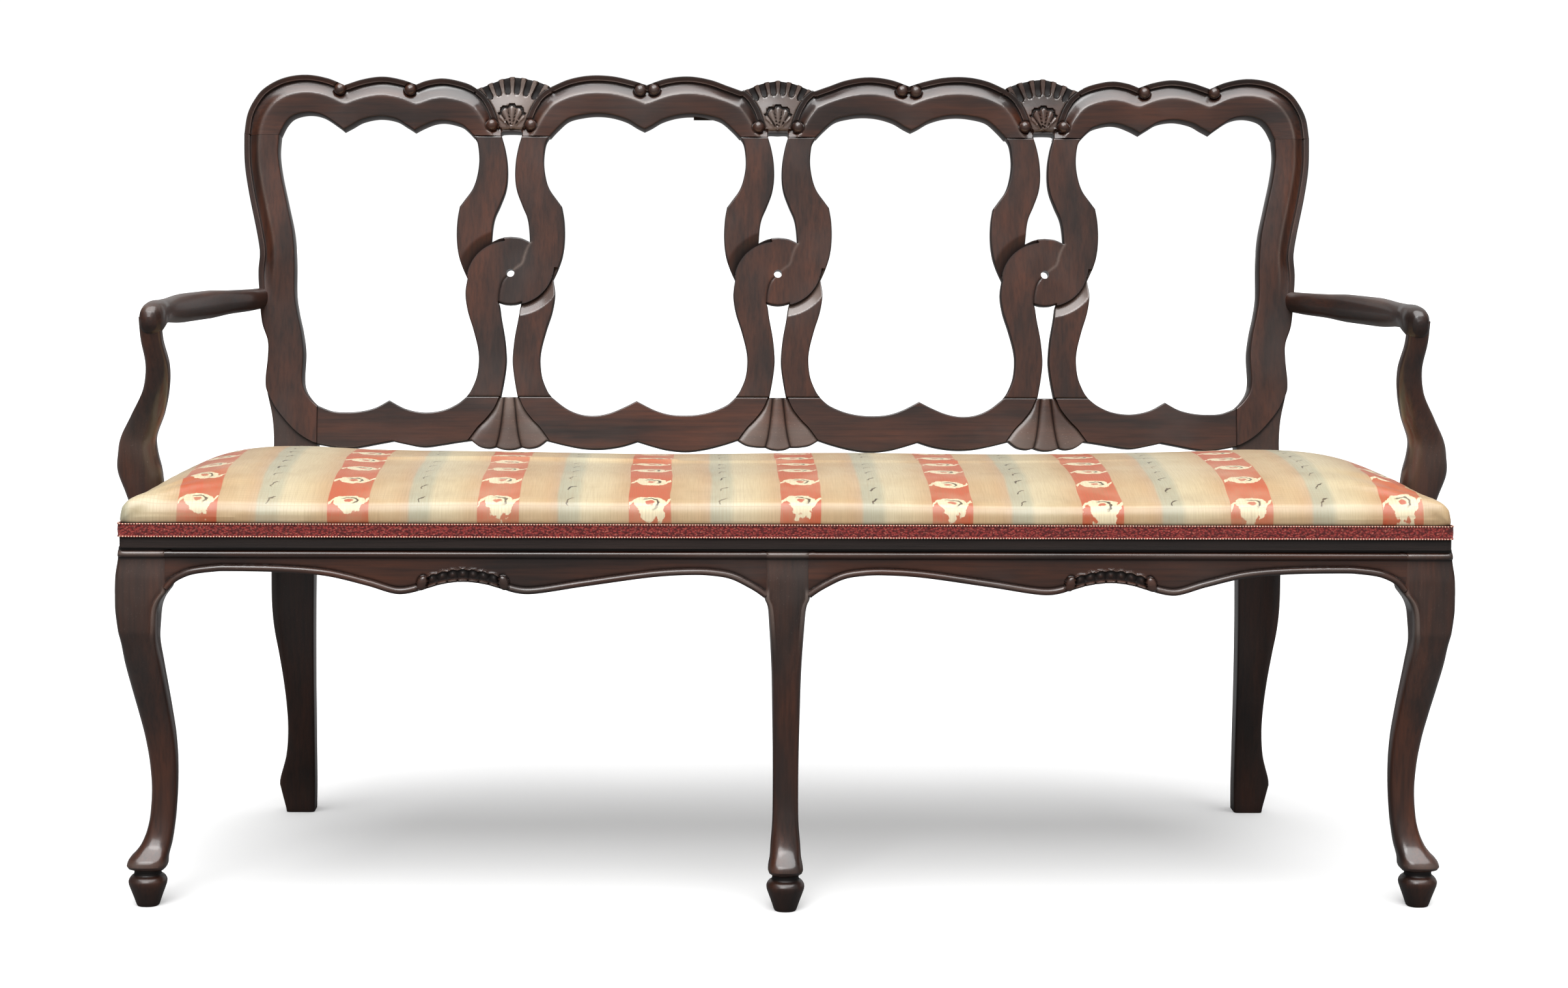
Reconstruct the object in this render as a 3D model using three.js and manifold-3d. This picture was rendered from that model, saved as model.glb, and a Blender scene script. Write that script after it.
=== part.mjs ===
// Four-chair-back walnut settee on cabriole legs, with a loose upholstered seat.
// Millimetres, +Z up, front towards -Y. Pieces are drawn with the front of the seat at y = 0
// and the centre plane at x = 0, and the whole is then centred over its own footprint.

import * as THREE from 'three';
import { mergeVertices } from 'three/addons/utils/BufferGeometryUtils.js';
import Module from 'manifold-3d';

const wasm = await Module();
wasm.setup();

// Clearances
const fitGap = 0.3;
const overrun = 6;

// Overall places: spacing of the pairs of strands, splay of the front legs, height of the rails
const pairSpacing = 368.5;
const frontSplay = 117;
const railTop = 450;
const postFrontY = 472;

// Front legs
const legBlockWidth = 60;
const legBlockDrop = 56;
const kneeHalf = 27;
const legSweep = 44;
const footSetback = 13;
const toeHeight = 40;
const toeHalf = 22;
const centreLegBlockWidth = 56;
const centreLegHalf = 26;
const centreLegSweep = 22;

// Aprons, rails and what stiffens them
const apronThickness = 24;
const apronRecess = 2;
const apronDrop = 57;
const beadWidth = 8;
const beadProud = 2;
const sideRailThickness = 25;
const sideRailDrop = 52;
const rearRailThickness = 25;
const rearRailDrop = 62;
const rearRailSetback = 5;
const tenonLength = 22;
const tenonThickness = 9;
const tenonHeight = 34;
const tenonShoulder = 8;
const bearerWidth = 24;
const bearerHeight = 30;
const bearerEndGap = 4;
const braceWidth = 44;
const braceHeight = 26;
const braceDrop = 6;
const braceTenonLength = 16;
const cornerBlockReach = 68;
const cornerBlockHeight = 34;
const cornerBlockDrop = 4;

// Back: a plane leaning backwards from a line above the rails
const backRake = THREE.MathUtils.degToRad(11);
const backFootSetback = 3;
const backFootRise = 30;
const backHeight = 551;
const crestThickness = 34;
const crestProud = 4;
const crestJointShare = 0.8457;
const lowerJointShare = 0.1888;
const shellRecess = 5;
const splatThickness = 20;
const splatHalfWidth = 74.5;
const lowerRailThickness = 24;
const curlHoleRadius = 5.5;
const curlCentreShare = 0.499;
const curlRadiusShare = 0.758;
const curlOffset = 4;
const curlRise = 12;
const reliefDepth = 5;
const reliefLength = 20;
const strandTenonLength = 14;
const strandTenonWidth = 20;
const strandTenonThickness = 8;
const strandTenonShare = 0.456;
const strandTenonDepth = 7;
const railTenonLength = 24;
const railTenonHeight = 26;
const railTenonThickness = 9;
const railTenonBottomShare = 0.0853;
const stileTenonLength = 20;
const stileTenonWidth = 24;
const stileTenonThickness = 10;
const stileTenonShare = 0.9675;

// Back posts, each a rear leg and a stile in one piece
const rearHalfShare = 0.9403;
const rearInnerShare = 0.8603;
const railJointShare = 0.8562;
const postDepthTop = 30;
const postDepthSeat = 38;
const footKick = 32;
const rearFootDepth = 36;
const postFaceStep = 6;

// Arms and their supports
const armInset = 25;
const armRearShare = 0.95;
const armFrontY = 92;
const armPostReach = 70;
const armRise = 275;
const armDrop = 12;
const armHalf = 19;
const armTenonLength = 25;
const armTenonThickness = 12;
const armTenonHeight = 20;
const armTenonSink = 7;
const armTenonReach = 55;
const supportBaseY = 175;
const supportLean = 67;
const supportLap = 54;
const supportTopDrop = 4;
const supportBulge = 5;
const supportSwing = 34;
const supportHalf = 27.5;
const supportPinRadius = 6;
const supportPinRise = 3;
const supportPinSink = 20;
const screwRadius = 2.6;
const screwHeadRadius = 5;
const screwHeadHeight = 2.5;
const screwBite = 12;
const screwDrops = [18, 40];

// Loose seat: frame, webbing, base cloth, cushion and braid
const seatOverhang = 2;
const seatSideInset = 1.5;
const seatRearSpread = 25;
const seatRearGap = 6;
const seatClearance = 5;
const seatLift = 60;
const seatFrameHeight = 28;
const seatMemberWidth = 46;
const seatTenonLength = 24;
const seatTenonWidth = 26;
const seatTenonHeight = 10;
const seatCornerRadius = 8;
const webbingWidth = 50;
const webbingThickness = 1.6;
const webbingLongCount = 4;
const webbingCrossCount = 9;
const webbingMargin = 16;
const baseClothThickness = 1;
const clothMargin = 14;
const bareBandHeight = 9;
const braidHeight = 18.5;
const braidThickness = 2.6;
const cushionRecessMargin = 11;
const cushionSideHeight = 27;
const cushionCrown = 13;
const cushionBulge = 3;
const cushionDrawIn = 3;
const cushionEdgeRound = 16;
const cushionCornerRadius = 18;

// Mending plate on the rear of the crest
const plateWidth = 26;
const plateHeight = 34;
const plateThickness = 2.5;
const plateCentreShare = -0.282;
const plateBottomShare = 0.8975;
const plateScrewRadius = 2;
const plateScrewLength = 14;
const plateScrewSpacing = 14;

// Smoothness
const curveSteps = 3;
const ringPoints = 14;
const legRings = 20;
const armRings = 20;
const cushionPoints = 68;

// Sizes that follow from these
const stileHalfWidth = pairSpacing * 2;
const rearHalfWidth = stileHalfWidth * rearHalfShare;
const rearInnerHalfWidth = stileHalfWidth * rearInnerShare;
const kneeHalfWidth = rearHalfWidth + frontSplay;
const railJointHalfWidth = stileHalfWidth * railJointShare;
const backFootY = postFrontY + backFootSetback;
const backFootHeight = railTop + backFootRise;
const crestJointHeight = backHeight * crestJointShare;
const lowerJointHeight = backHeight * lowerJointShare;
const curlCentreHeight = backHeight * curlCentreShare;
const curlRadius = splatHalfWidth * curlRadiusShare;
const strandTenonOffset = splatHalfWidth * strandTenonShare;
const railTenonBottom = backHeight * railTenonBottomShare;
const stileTenonCentre = stileHalfWidth * stileTenonShare;
const armHeight = railTop + armRise;
const armLength = postFrontY - armFrontY + armPostReach;
const armSpreadFront = kneeHalfWidth - armInset;
const armRearHalfWidth = stileHalfWidth * armRearShare;
const armSpreadInward = armSpreadFront - armRearHalfWidth;
const armTenonX = armRearHalfWidth - armTenonSink;
const armTenonY = postFrontY + armTenonReach;
const supportSpread = kneeHalfWidth + supportBulge;
const supportBaseHeight = railTop - supportLap;
const supportRise = armHeight - supportTopDrop - supportBaseHeight;
const seatFrontHalfWidth = kneeHalfWidth - seatSideInset;
const seatRearHalfWidth = rearHalfWidth + seatRearSpread;
const seatRearY = postFrontY - seatRearGap;
const plateCentre = pairSpacing * plateCentreShare;
const plateBottom = backHeight * plateBottomShare;

// Finishes
const walnut = { color: 0x3b2822, roughness: 0.42, metalness: 0 };
const innerTimber = { color: 0x6b4f38, roughness: 0.8, metalness: 0 };
const seatTimber = { color: 0x2d201b, roughness: 0.55, metalness: 0 };
const jute = { color: 0x9c8762, roughness: 0.95, metalness: 0 };
const linen = { color: 0xb9ab8c, roughness: 0.95, metalness: 0 };
const silk = { color: 0xcdb58c, roughness: 0.55, metalness: 0 };
const crimsonBraid = { color: 0x9c3440, roughness: 0.85, metalness: 0 };
const iron = { color: 0x35312e, roughness: 0.6, metalness: 0.8 };

// Solids

function toSolid(geometry) {
  const bare = geometry.clone();
  bare.deleteAttribute('normal');
  bare.deleteAttribute('uv');
  const merged = mergeVertices(bare);
  const vertProperties = new Float32Array(merged.attributes.position.array);
  const triVerts = new Uint32Array(merged.index.array);
  return new wasm.Manifold(new wasm.Mesh({ numProp: 3, vertProperties, triVerts }));
}

function toGeometry(solid) {
  const mesh = solid.getMesh();
  const geometry = new THREE.BufferGeometry();
  geometry.setAttribute('position', new THREE.BufferAttribute(mesh.vertProperties, 3));
  geometry.setIndex(new THREE.BufferAttribute(mesh.triVerts, 1));
  const faceted = geometry.toNonIndexed();
  faceted.computeVertexNormals();
  return faceted;
}

function join(first, ...others) {
  const whole = others.reduce((solid, other) => solid.add(toSolid(other)), toSolid(first));
  return toGeometry(whole);
}

function cut(first, ...others) {
  const rest = others.reduce((solid, other) => solid.subtract(toSolid(other)), toSolid(first));
  return toGeometry(rest);
}

function common(first, second) {
  return toGeometry(toSolid(first).intersect(toSolid(second)));
}

function named(name, geometry, finish) {
  const mesh = new THREE.Mesh(geometry, new THREE.MeshStandardMaterial(finish));
  mesh.name = name;
  return mesh;
}

// Shapes

function block(low, high) {
  const size = high.map((value, axis) => value - low[axis]);
  const geometry = new THREE.BoxGeometry(...size);
  geometry.translate(...low.map((value, axis) => value + size[axis] / 2));
  return geometry;
}

// The block's own shape with its clearance all round
function grownBlock(low, high) {
  return block(low.map((value) => value - fitGap), high.map((value) => value + fitGap));
}

function rod(radius, start, end) {
  const from = new THREE.Vector3(...start);
  const along = new THREE.Vector3(...end).sub(from);
  const length = along.length();
  const geometry = new THREE.CylinderGeometry(radius, radius, length, ringPoints);
  geometry.translate(0, length / 2, 0);
  const up = new THREE.Vector3(0, 1, 0);
  geometry.applyQuaternion(new THREE.Quaternion().setFromUnitVectors(up, along.normalize()));
  geometry.translate(...start);
  return geometry;
}

function shifted(geometry, x, y, z) {
  return geometry.clone().translate(x, y, z);
}

// The mirror image across the centre plane, with its faces turned to point out again
function mirrored(geometry) {
  const flat = geometry.index ? geometry.toNonIndexed() : geometry.clone();
  const position = flat.attributes.position;
  const image = new Float32Array(position.array.length);
  const order = [0, 2, 1];
  for (let k = 0; k < position.count; k += 1) {
    const corner = k % 3;
    const source = k - corner + order[corner];
    image.set([-position.getX(source), position.getY(source), position.getZ(source)], k * 3);
  }
  const turned = new THREE.BufferGeometry();
  turned.setAttribute('position', new THREE.BufferAttribute(image, 3));
  turned.computeVertexNormals();
  return turned;
}

function scaled(shares, across, up) {
  return shares.map(([a, b]) => [a * across, b * up]);
}

function flipped(points) {
  return points.map(([a, b]) => [-a, b]).reverse();
}

// An outline drawn in runs: each run is a smooth curve, and runs meet at corners
function outline(runs) {
  const nearest = fitGap / 4;
  const points = [];
  for (const run of runs) {
    const nodes = run.map(([a, b]) => new THREE.Vector2(a, b));
    const curve = new THREE.SplineCurve(nodes);
    const drawn = nodes.length < 3 ? nodes : curve.getPoints((nodes.length - 1) * curveSteps);
    for (const point of drawn) {
      if (!points.length || points[points.length - 1].distanceTo(point) > nearest) {
        points.push(point);
      }
    }
  }
  if (points[0].distanceTo(points[points.length - 1]) < nearest) {
    points.pop();
  }
  return points;
}

function prism(points, depth) {
  return new THREE.ExtrudeGeometry(new THREE.Shape(points), { depth, bevelEnabled: false });
}

// A board seen from the front: outline in X and Z, between two depths in Y
function frontBoard(points, nearY, farY) {
  const geometry = prism(points, farY - nearY);
  geometry.rotateX(Math.PI / 2);
  return geometry.translate(0, farY, 0);
}

// A board seen from the side: outline in Y and Z, between two places in X
function sideBoard(points, lowX, highX) {
  const geometry = prism(points, highX - lowX);
  geometry.rotateX(Math.PI / 2);
  geometry.rotateZ(Math.PI / 2);
  return geometry.translate(lowX, 0, 0);
}

// A board seen from above: outline in X and Y, between two heights
function flatBoard(points, lowZ, highZ) {
  return prism(points, highZ - lowZ).translate(0, 0, lowZ);
}

function corners(points) {
  return points.map(([a, b]) => new THREE.Vector2(a, b));
}

// A closed tube through rings, each with a centre, two directions, two half sizes
function loft(rings, squareness) {
  const positions = [];
  const index = [];
  for (const ring of rings) {
    for (let k = 0; k < ringPoints; k += 1) {
      const angle = (k + 1 / 2) * 2 * Math.PI / ringPoints;
      const cosine = Math.cos(angle);
      const sine = Math.sin(angle);
      const across = Math.sign(cosine) * Math.abs(cosine) ** (1 / squareness) * ring.halfAcross;
      const up = Math.sign(sine) * Math.abs(sine) ** (1 / squareness) * ring.halfUp;
      const point = ring.centre.clone().addScaledVector(ring.across, across);
      point.addScaledVector(ring.up, up);
      positions.push(point.x, point.y, point.z);
    }
  }
  const lastRing = (rings.length - 1) * ringPoints;
  for (let start = 0; start < lastRing; start += ringPoints) {
    for (let k = 0; k < ringPoints; k += 1) {
      const a = start + k;
      const b = start + (k + 1) % ringPoints;
      index.push(a, b, b + ringPoints, a, b + ringPoints, a + ringPoints);
    }
  }
  for (let k = 1; k < ringPoints - 1; k += 1) {
    index.push(0, k + 1, k);
    index.push(lastRing, lastRing + k, lastRing + k + 1);
  }
  const geometry = new THREE.BufferGeometry();
  geometry.setAttribute('position', new THREE.Float32BufferAttribute(positions, 3));
  geometry.setIndex(index);
  return geometry;
}

// Rows of up to three values, drawn out smoothly
function smoothRows(rows, count) {
  const curve = new THREE.CatmullRomCurve3(rows.map((row) => new THREE.Vector3(...row)));
  return curve.getPoints(count).map((point) => point.toArray());
}

const alongX = new THREE.Vector3(1, 0, 0);
const alongY = new THREE.Vector3(0, 1, 0);
const alongZ = new THREE.Vector3(0, 0, 1);

function levelRing(centre, halfX, halfY) {
  const middle = new THREE.Vector3(...centre);
  return { centre: middle, across: alongX, up: alongY, halfAcross: halfX, halfUp: halfY };
}

// Front legs

const legSquareness = 1.6;
const toeSquareness = 1.25;

// From the foot pad to the knee: shares of railTop, of legSweep and of kneeHalf
const cabrioleShares = [
  [0.107, 0.580, 0.78],
  [0.120, 0.610, 0.86],
  [0.135, 0.680, 0.82],
  [0.166, 0.812, 0.667],
  [0.204, 0.902, 0.60],
  [0.245, 0.965, 0.572],
  [0.315, 1.010, 0.574],
  [0.387, 0.998, 0.619],
  [0.460, 0.932, 0.678],
  [0.533, 0.818, 0.737],
  [0.605, 0.700, 0.793],
  [0.677, 0.568, 0.83],
  [0.745, 0.480, 0.86],
  [0.815, 0.590, 0.98],
  [0.880, 0.680, 1.10],
];
const legSettleShares = [0.5, 0.85];

// Turned toe: shares of toeHeight and of toeHalf
const toeShares = [
  [0, 0.62], [0.04, 0.66], [0.58, 1], [0.76, 1], [0.90, 0.88], [0.98, 0.72], [1.12, 0.72], [1.3, 0.86],
];

function toe(x, y) {
  const rings = toeShares.map(([up, wide]) => (
    levelRing([x, y, toeHeight * up], toeHalf * wide, toeHalf * wide)));
  return loft(rings, toeSquareness);
}

function leftLeg() {
  const rings = smoothRows(cabrioleShares, legRings).map(([up, inward, thick]) => {
    const inset = legSweep * inward;
    const settled = 1 - THREE.MathUtils.smoothstep(up, ...legSettleShares);
    const half = kneeHalf * thick;
    return levelRing([inset - kneeHalfWidth, inset + footSetback * settled, railTop * up], half, half);
  });
  const toeInset = legSweep * cabrioleShares[0][1];
  const foot = toe(toeInset - kneeHalfWidth, toeInset + footSetback);
  const low = [-kneeHalfWidth, 0, railTop - legBlockDrop];
  const head = block(low, [legBlockWidth - kneeHalfWidth, legBlockWidth, railTop]);
  return join(loft(rings, legSquareness), foot, head);
}

// Shares of railTop, of centreLegSweep and of centreLegHalf front to back, then across
const centreDepthShares = [
  [0.107, 0.74, 0.84], [0.122, 0.80, 0.92], [0.140, 0.95, 0.82], [0.180, 1.22, 0.68], [0.240, 1.48, 0.62],
  [0.315, 1.62, 0.60], [0.420, 1.60, 0.63], [0.540, 1.48, 0.69], [0.650, 1.32, 0.76], [0.760, 1.20, 0.88],
  [0.880, 1.18, 1.00],
];
const centreWidthShares = [
  [0.107, 0.70], [0.122, 0.76], [0.140, 0.74], [0.180, 0.70], [0.240, 0.62], [0.315, 0.605], [0.420, 0.615],
  [0.540, 0.655], [0.650, 0.70], [0.760, 0.79], [0.880, 1.06],
];

function centreLeg() {
  const widths = smoothRows(centreWidthShares.map(([up, wide]) => [up, wide, 0]), legRings);
  const rings = smoothRows(centreDepthShares, legRings).map(([up, back, deep], k) => {
    const centre = [0, centreLegSweep * back, railTop * up];
    return levelRing(centre, centreLegHalf * widths[k][1], centreLegHalf * deep);
  });
  const foot = toe(0, centreLegSweep * centreDepthShares[0][1]);
  const half = centreLegBlockWidth / 2;
  const head = block([-half, 0, railTop - legBlockDrop], [half, centreLegBlockWidth, railTop]);
  return join(loft(rings, legSquareness), foot, head);
}

// Front aprons, drawn on the left

const apronStart = legBlockWidth - kneeHalfWidth + fitGap;
const apronEnd = -centreLegBlockWidth / 2 - fitGap;
const tenonTop = railTop - tenonShoulder;
const tenonNearY = apronRecess + tenonShoulder;

// Lower edge from the corner leg to the centre leg: shares of the apron's length and of apronDrop
const apronEdgeShares = [
  [[0, 1.03], [0.013, 0.86], [0.043, 0.585], [0.104, 0.53], [0.19, 0.53], [0.265, 0.61],
    [0.332, 0.81], [0.385, 0.995], [0.428, 0.90]],
  [[0.428, 0.90], [0.46, 0.78], [0.494, 0.73], [0.53, 0.78], [0.563, 0.90]],
  [[0.563, 0.90], [0.607, 0.99], [0.70, 0.82], [0.81, 0.625], [0.885, 0.59], [0.945, 0.68],
    [0.985, 0.87], [1, 1.06]],
];

function apronEdge(lift) {
  const length = apronEnd - apronStart;
  return apronEdgeShares.map((run) => run.map(([along, down]) => (
    [apronStart + along * length, railTop - down * apronDrop + lift])));
}

const apronOuterTenon = [
  [apronStart - tenonLength, tenonNearY, tenonTop - tenonHeight],
  [apronStart + overrun, tenonNearY + tenonThickness, tenonTop],
];
const apronMiddleTenon = [
  [apronEnd - overrun, tenonNearY, tenonTop - tenonHeight],
  [apronEnd + tenonLength, tenonNearY + tenonThickness, tenonTop],
];

function leftApron() {
  const top = [[apronEnd, railTop], [apronStart, railTop]];
  const board = frontBoard(outline([top, ...apronEdge(0)]), apronRecess, apronRecess + apronThickness);
  const upper = apronEdge(beadWidth).map((run) => run.reverse()).reverse();
  const beadPoints = outline([...apronEdge(0), ...upper]);
  const bead = frontBoard(beadPoints, apronRecess - beadProud, apronRecess + overrun);
  return join(board, bead, block(...apronOuterTenon), block(...apronMiddleTenon));
}

// Side rails, drawn on the left: straight from the corner leg to the back post

const railSlope = (kneeHalfWidth - rearHalfWidth) / (postFrontY - legBlockWidth);
const railAngle = Math.atan(railSlope);

function railOutside(y) {
  return (y - legBlockWidth) * railSlope - kneeHalfWidth;
}

function railInside(y) {
  return railOutside(y) + sideRailThickness / Math.cos(railAngle);
}

const sideEdgeShares = [[0, 1.06], [0.05, 0.78], [0.14, 0.62], [0.30, 0.74], [0.50, 1], [0.70, 0.76],
  [0.88, 0.64], [1, 0.72]];
const sideFrontY = legBlockWidth + fitGap;
const sideRearY = postFrontY - fitGap;

const sideFrontTenon = [
  [railOutside(legBlockWidth) + tenonShoulder, sideFrontY - tenonLength, tenonTop - tenonHeight],
  [railOutside(legBlockWidth) + tenonShoulder + tenonThickness, sideFrontY + tenonShoulder, tenonTop],
];
const sideRearTenonX = railInside(postFrontY) - tenonShoulder;
const sideRearTenon = [
  [sideRearTenonX - tenonThickness, sideRearY - tenonShoulder, tenonTop - tenonHeight],
  [sideRearTenonX, sideRearY + tenonLength, tenonTop],
];

function leftSideRail() {
  const plan = corners([
    [railOutside(sideFrontY), sideFrontY], [railInside(sideFrontY), sideFrontY],
    [railInside(sideRearY), sideRearY], [railOutside(sideRearY), sideRearY],
  ]);
  const low = railTop - sideRailDrop - legBlockDrop;
  const straight = flatBoard(plan, low, railTop);
  const length = sideRearY - sideFrontY;
  const edge = sideEdgeShares.map(([along, down]) => (
    [sideFrontY + along * length, railTop - down * sideRailDrop]));
  const top = [[sideRearY, railTop], [sideFrontY, railTop]];
  const shaped = sideBoard(outline([edge, top]), -kneeHalfWidth - overrun, -rearInnerHalfWidth);
  return join(common(straight, shaped), block(...sideFrontTenon), block(...sideRearTenon));
}

// Rear rail, bearer, brace and corner blocks

const rearRailNearY = postFrontY + rearRailSetback;
const rearRailEnd = rearInnerHalfWidth - fitGap;
const rearTenon = [
  [-rearRailEnd - tenonLength, rearRailNearY + tenonShoulder, tenonTop - tenonHeight],
  [overrun - rearRailEnd, rearRailNearY + tenonShoulder + tenonThickness, tenonTop],
];

function rearRail() {
  const low = [-rearRailEnd, rearRailNearY, railTop - rearRailDrop];
  const board = block(low, [rearRailEnd, rearRailNearY + rearRailThickness, railTop]);
  const leftTenon = block(...rearTenon);
  return join(board, leftTenon, mirrored(leftTenon));
}

const bearerFarY = rearRailNearY - fitGap;
const bearerNearY = bearerFarY - bearerWidth;
const braceTop = railTop - braceDrop;
const braceTenonHalf = braceWidth / 2 - tenonShoulder;
const braceTenonBottom = braceTop - braceHeight + tenonShoulder;
const braceFrontTenon = [
  [-braceTenonHalf, centreLegBlockWidth - braceTenonLength, braceTenonBottom],
  [braceTenonHalf, centreLegBlockWidth + overrun, braceTop - tenonShoulder],
];
const braceRearTenon = [
  [-braceTenonHalf, bearerNearY - overrun, braceTenonBottom],
  [braceTenonHalf, bearerNearY + braceTenonLength, braceTop - tenonShoulder],
];

function bearer() {
  const half = rearRailEnd - bearerEndGap;
  const strip = block([-half, bearerNearY, railTop - bearerHeight], [half, bearerFarY, railTop]);
  return cut(strip, grownBlock(...braceRearTenon));
}

function brace() {
  const low = [-braceWidth / 2, centreLegBlockWidth + fitGap, braceTop - braceHeight];
  const bar = block(low, [braceWidth / 2, bearerNearY - fitGap, braceTop]);
  return join(bar, block(...braceFrontTenon), block(...braceRearTenon));
}

function leftCornerBlock() {
  const apronBackY = apronRecess + apronThickness + fitGap;
  const legInside = apronStart;
  const legBack = legBlockWidth + fitGap;
  const reachY = legBack + cornerBlockReach;
  const plan = corners([
    [legInside, apronBackY], [legInside + cornerBlockReach, apronBackY],
    [railInside(reachY) + fitGap, reachY], [railInside(legBack) + fitGap, legBack], [legInside, legBack],
  ]);
  const top = railTop - cornerBlockDrop;
  return flatBoard(plan, top - cornerBlockHeight, top);
}

// Back: a group turned so that X runs along the settee, Y up the back and Z out of its front

const back = new THREE.Group();
back.position.set(0, backFootY, backFootHeight);
back.rotation.x = Math.PI / 2 - backRake;
back.updateMatrix();

function fromBack(geometry) {
  return geometry.clone().applyMatrix4(back.matrix);
}

// A point of the leaning back seen from the side, as Y and Z
function rakePoint(up, forward) {
  const point = new THREE.Vector3(0, up, forward).applyMatrix4(back.matrix);
  return [point.y, point.z];
}

function backBoard(points, behind, front) {
  return flatBoard(points, -behind, front);
}

// Crest: shares of pairSpacing and of backHeight, from the centre plane to the right
const crestSkylineShares = [
  [[0, 0.990], [0.054, 0.984], [0.098, 0.973], [0.136, 0.961]],
  [[0.136, 0.961], [0.190, 0.974], [0.258, 0.990], [0.339, 0.998], [0.421, 0.992], [0.494, 0.975]],
  [[0.494, 0.975], [0.556, 0.988], [0.630, 0.998], [0.711, 0.999], [0.787, 0.989], [0.852, 0.970]],
  [[0.852, 0.970], [0.909, 0.986], [1.000, 0.996], [1.072, 0.982], [1.129, 0.965]],
  [[1.129, 0.965], [1.180, 0.980], [1.254, 0.990], [1.316, 0.985], [1.360, 0.974]],
  [[1.360, 0.974], [1.417, 0.987], [1.487, 0.994], [1.560, 0.987], [1.628, 0.972]],
  [[1.628, 0.972], [1.696, 0.990], [1.777, 0.998], [1.859, 0.989], [1.927, 0.964], [1.965, 0.933],
    [1.990, 0.895], [2.000, crestJointShare]],
];
const crestUnderShares = [
  [[1.870, crestJointShare], [1.848, 0.876], [1.818, 0.895], [1.764, 0.903], [1.710, 0.896], [1.655, 0.8725],
    [1.631, 0.860]],
  [[1.631, 0.860], [1.601, 0.871], [1.560, 0.886], [1.498, 0.894], [1.438, 0.888], [1.398, 0.873],
    [1.365, 0.859]],
  [[1.365, 0.859], [1.330, 0.8715], [1.289, 0.882], [1.248, 0.884], [1.194, 0.875], [1.167, 0.862],
    [1.144, crestJointShare]],
  [[0.856, crestJointShare], [0.827, 0.867], [0.787, 0.890], [0.733, 0.900], [0.678, 0.9035], [0.624, 0.900],
    [0.570, 0.889], [0.529, 0.873], [0.502, 0.864]],
  [[0.502, 0.864], [0.475, 0.873], [0.434, 0.889], [0.380, 0.900], [0.324, 0.9035], [0.270, 0.900],
    [0.216, 0.890], [0.174, 0.867], [0.144, crestJointShare]],
];
// Each carved shell: shares of pairSpacing from its own centre, and of backHeight
const shellShares = [[-0.146, 1.02], [-0.105, 0.935], [-0.05, 0.87], [-0.04, 0.82], [0.04, 0.82],
  [0.05, 0.87], [0.105, 0.935], [0.146, 1.02]];

const pairCentres = [['left', -pairSpacing], ['center', 0], ['right', pairSpacing]];

function strandTenons(centre, low, high) {
  const behind = -strandTenonDepth - strandTenonThickness;
  return [-strandTenonOffset, strandTenonOffset].map((offset) => [
    [centre + offset - strandTenonWidth / 2, low, behind],
    [centre + offset + strandTenonWidth / 2, high, -strandTenonDepth],
  ]);
}

function strandTops(centre) {
  return strandTenons(centre, crestJointHeight - overrun, crestJointHeight + strandTenonLength);
}

function strandFeet(centre) {
  return strandTenons(centre, lowerJointHeight - strandTenonLength, lowerJointHeight + overrun);
}

const stileTenonHalf = stileTenonWidth / 2;
const stileTenon = [
  [stileTenonCentre - stileTenonHalf, crestJointHeight - overrun, -strandTenonDepth - stileTenonThickness],
  [stileTenonCentre + stileTenonHalf, crestJointHeight + stileTenonLength, -strandTenonDepth],
];

function crest() {
  const skyline = crestSkylineShares.map((run) => scaled(run, pairSpacing, backHeight));
  const under = crestUnderShares.map((run) => scaled(run, pairSpacing, backHeight));
  const right = [...skyline, ...under];
  const left = right.map(flipped).reverse();
  let board = backBoard(outline([...right, ...left]), crestThickness - crestProud, crestProud);
  for (const [, centre] of pairCentres) {
    const points = corners(scaled(shellShares, pairSpacing, backHeight));
    const recess = backBoard(points, shellRecess - crestProud, crestProud + overrun);
    board = cut(board, shifted(recess, centre, 0, 0));
    for (const tenon of strandTops(centre)) {
      board = cut(board, grownBlock(...tenon));
    }
  }
  const mortise = grownBlock(...stileTenon);
  return cut(board, mortise, mirrored(mortise));
}

// Splat: the outer edge and the two gaps, as shares of splatHalfWidth and of backHeight
const strandOuterShares = [
  [[0.707, 0.8457], [0.631, 0.826], [0.597, 0.784], [0.631, 0.744], [0.711, 0.711], [0.859, 0.682],
    [0.946, 0.666]],
  [[0.946, 0.666], [0.987, 0.632], [0.997, 0.590], [0.966, 0.548], [0.893, 0.515], [0.792, 0.484]],
  [[0.792, 0.484], [0.825, 0.446], [0.779, 0.403], [0.671, 0.356], [0.584, 0.310], [0.564, 0.276],
    [0.600, 0.238], [0.698, 0.205], [0.778, 0.1888]],
];
const upperGapShares = [
  [[0.188, 0.8457], [0.127, 0.817], [0.080, 0.780], [0.071, 0.740], [0.107, 0.706], [0.201, 0.671],
    [0.295, 0.641], [0.336, 0.613], [0.356, 0.577]],
  [[0.356, 0.577], [0.188, 0.587], [0, 0.590]],
];
const lowerGapShares = [
  [[0.154, 0.1888], [0.100, 0.228], [0.062, 0.267], [0.062, 0.296], [0.094, 0.338], [0.157, 0.385],
    [0.188, 0.414], [0.215, 0.426]],
  [[0.215, 0.426], [0.107, 0.4215], [0, 0.420]],
];

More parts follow.
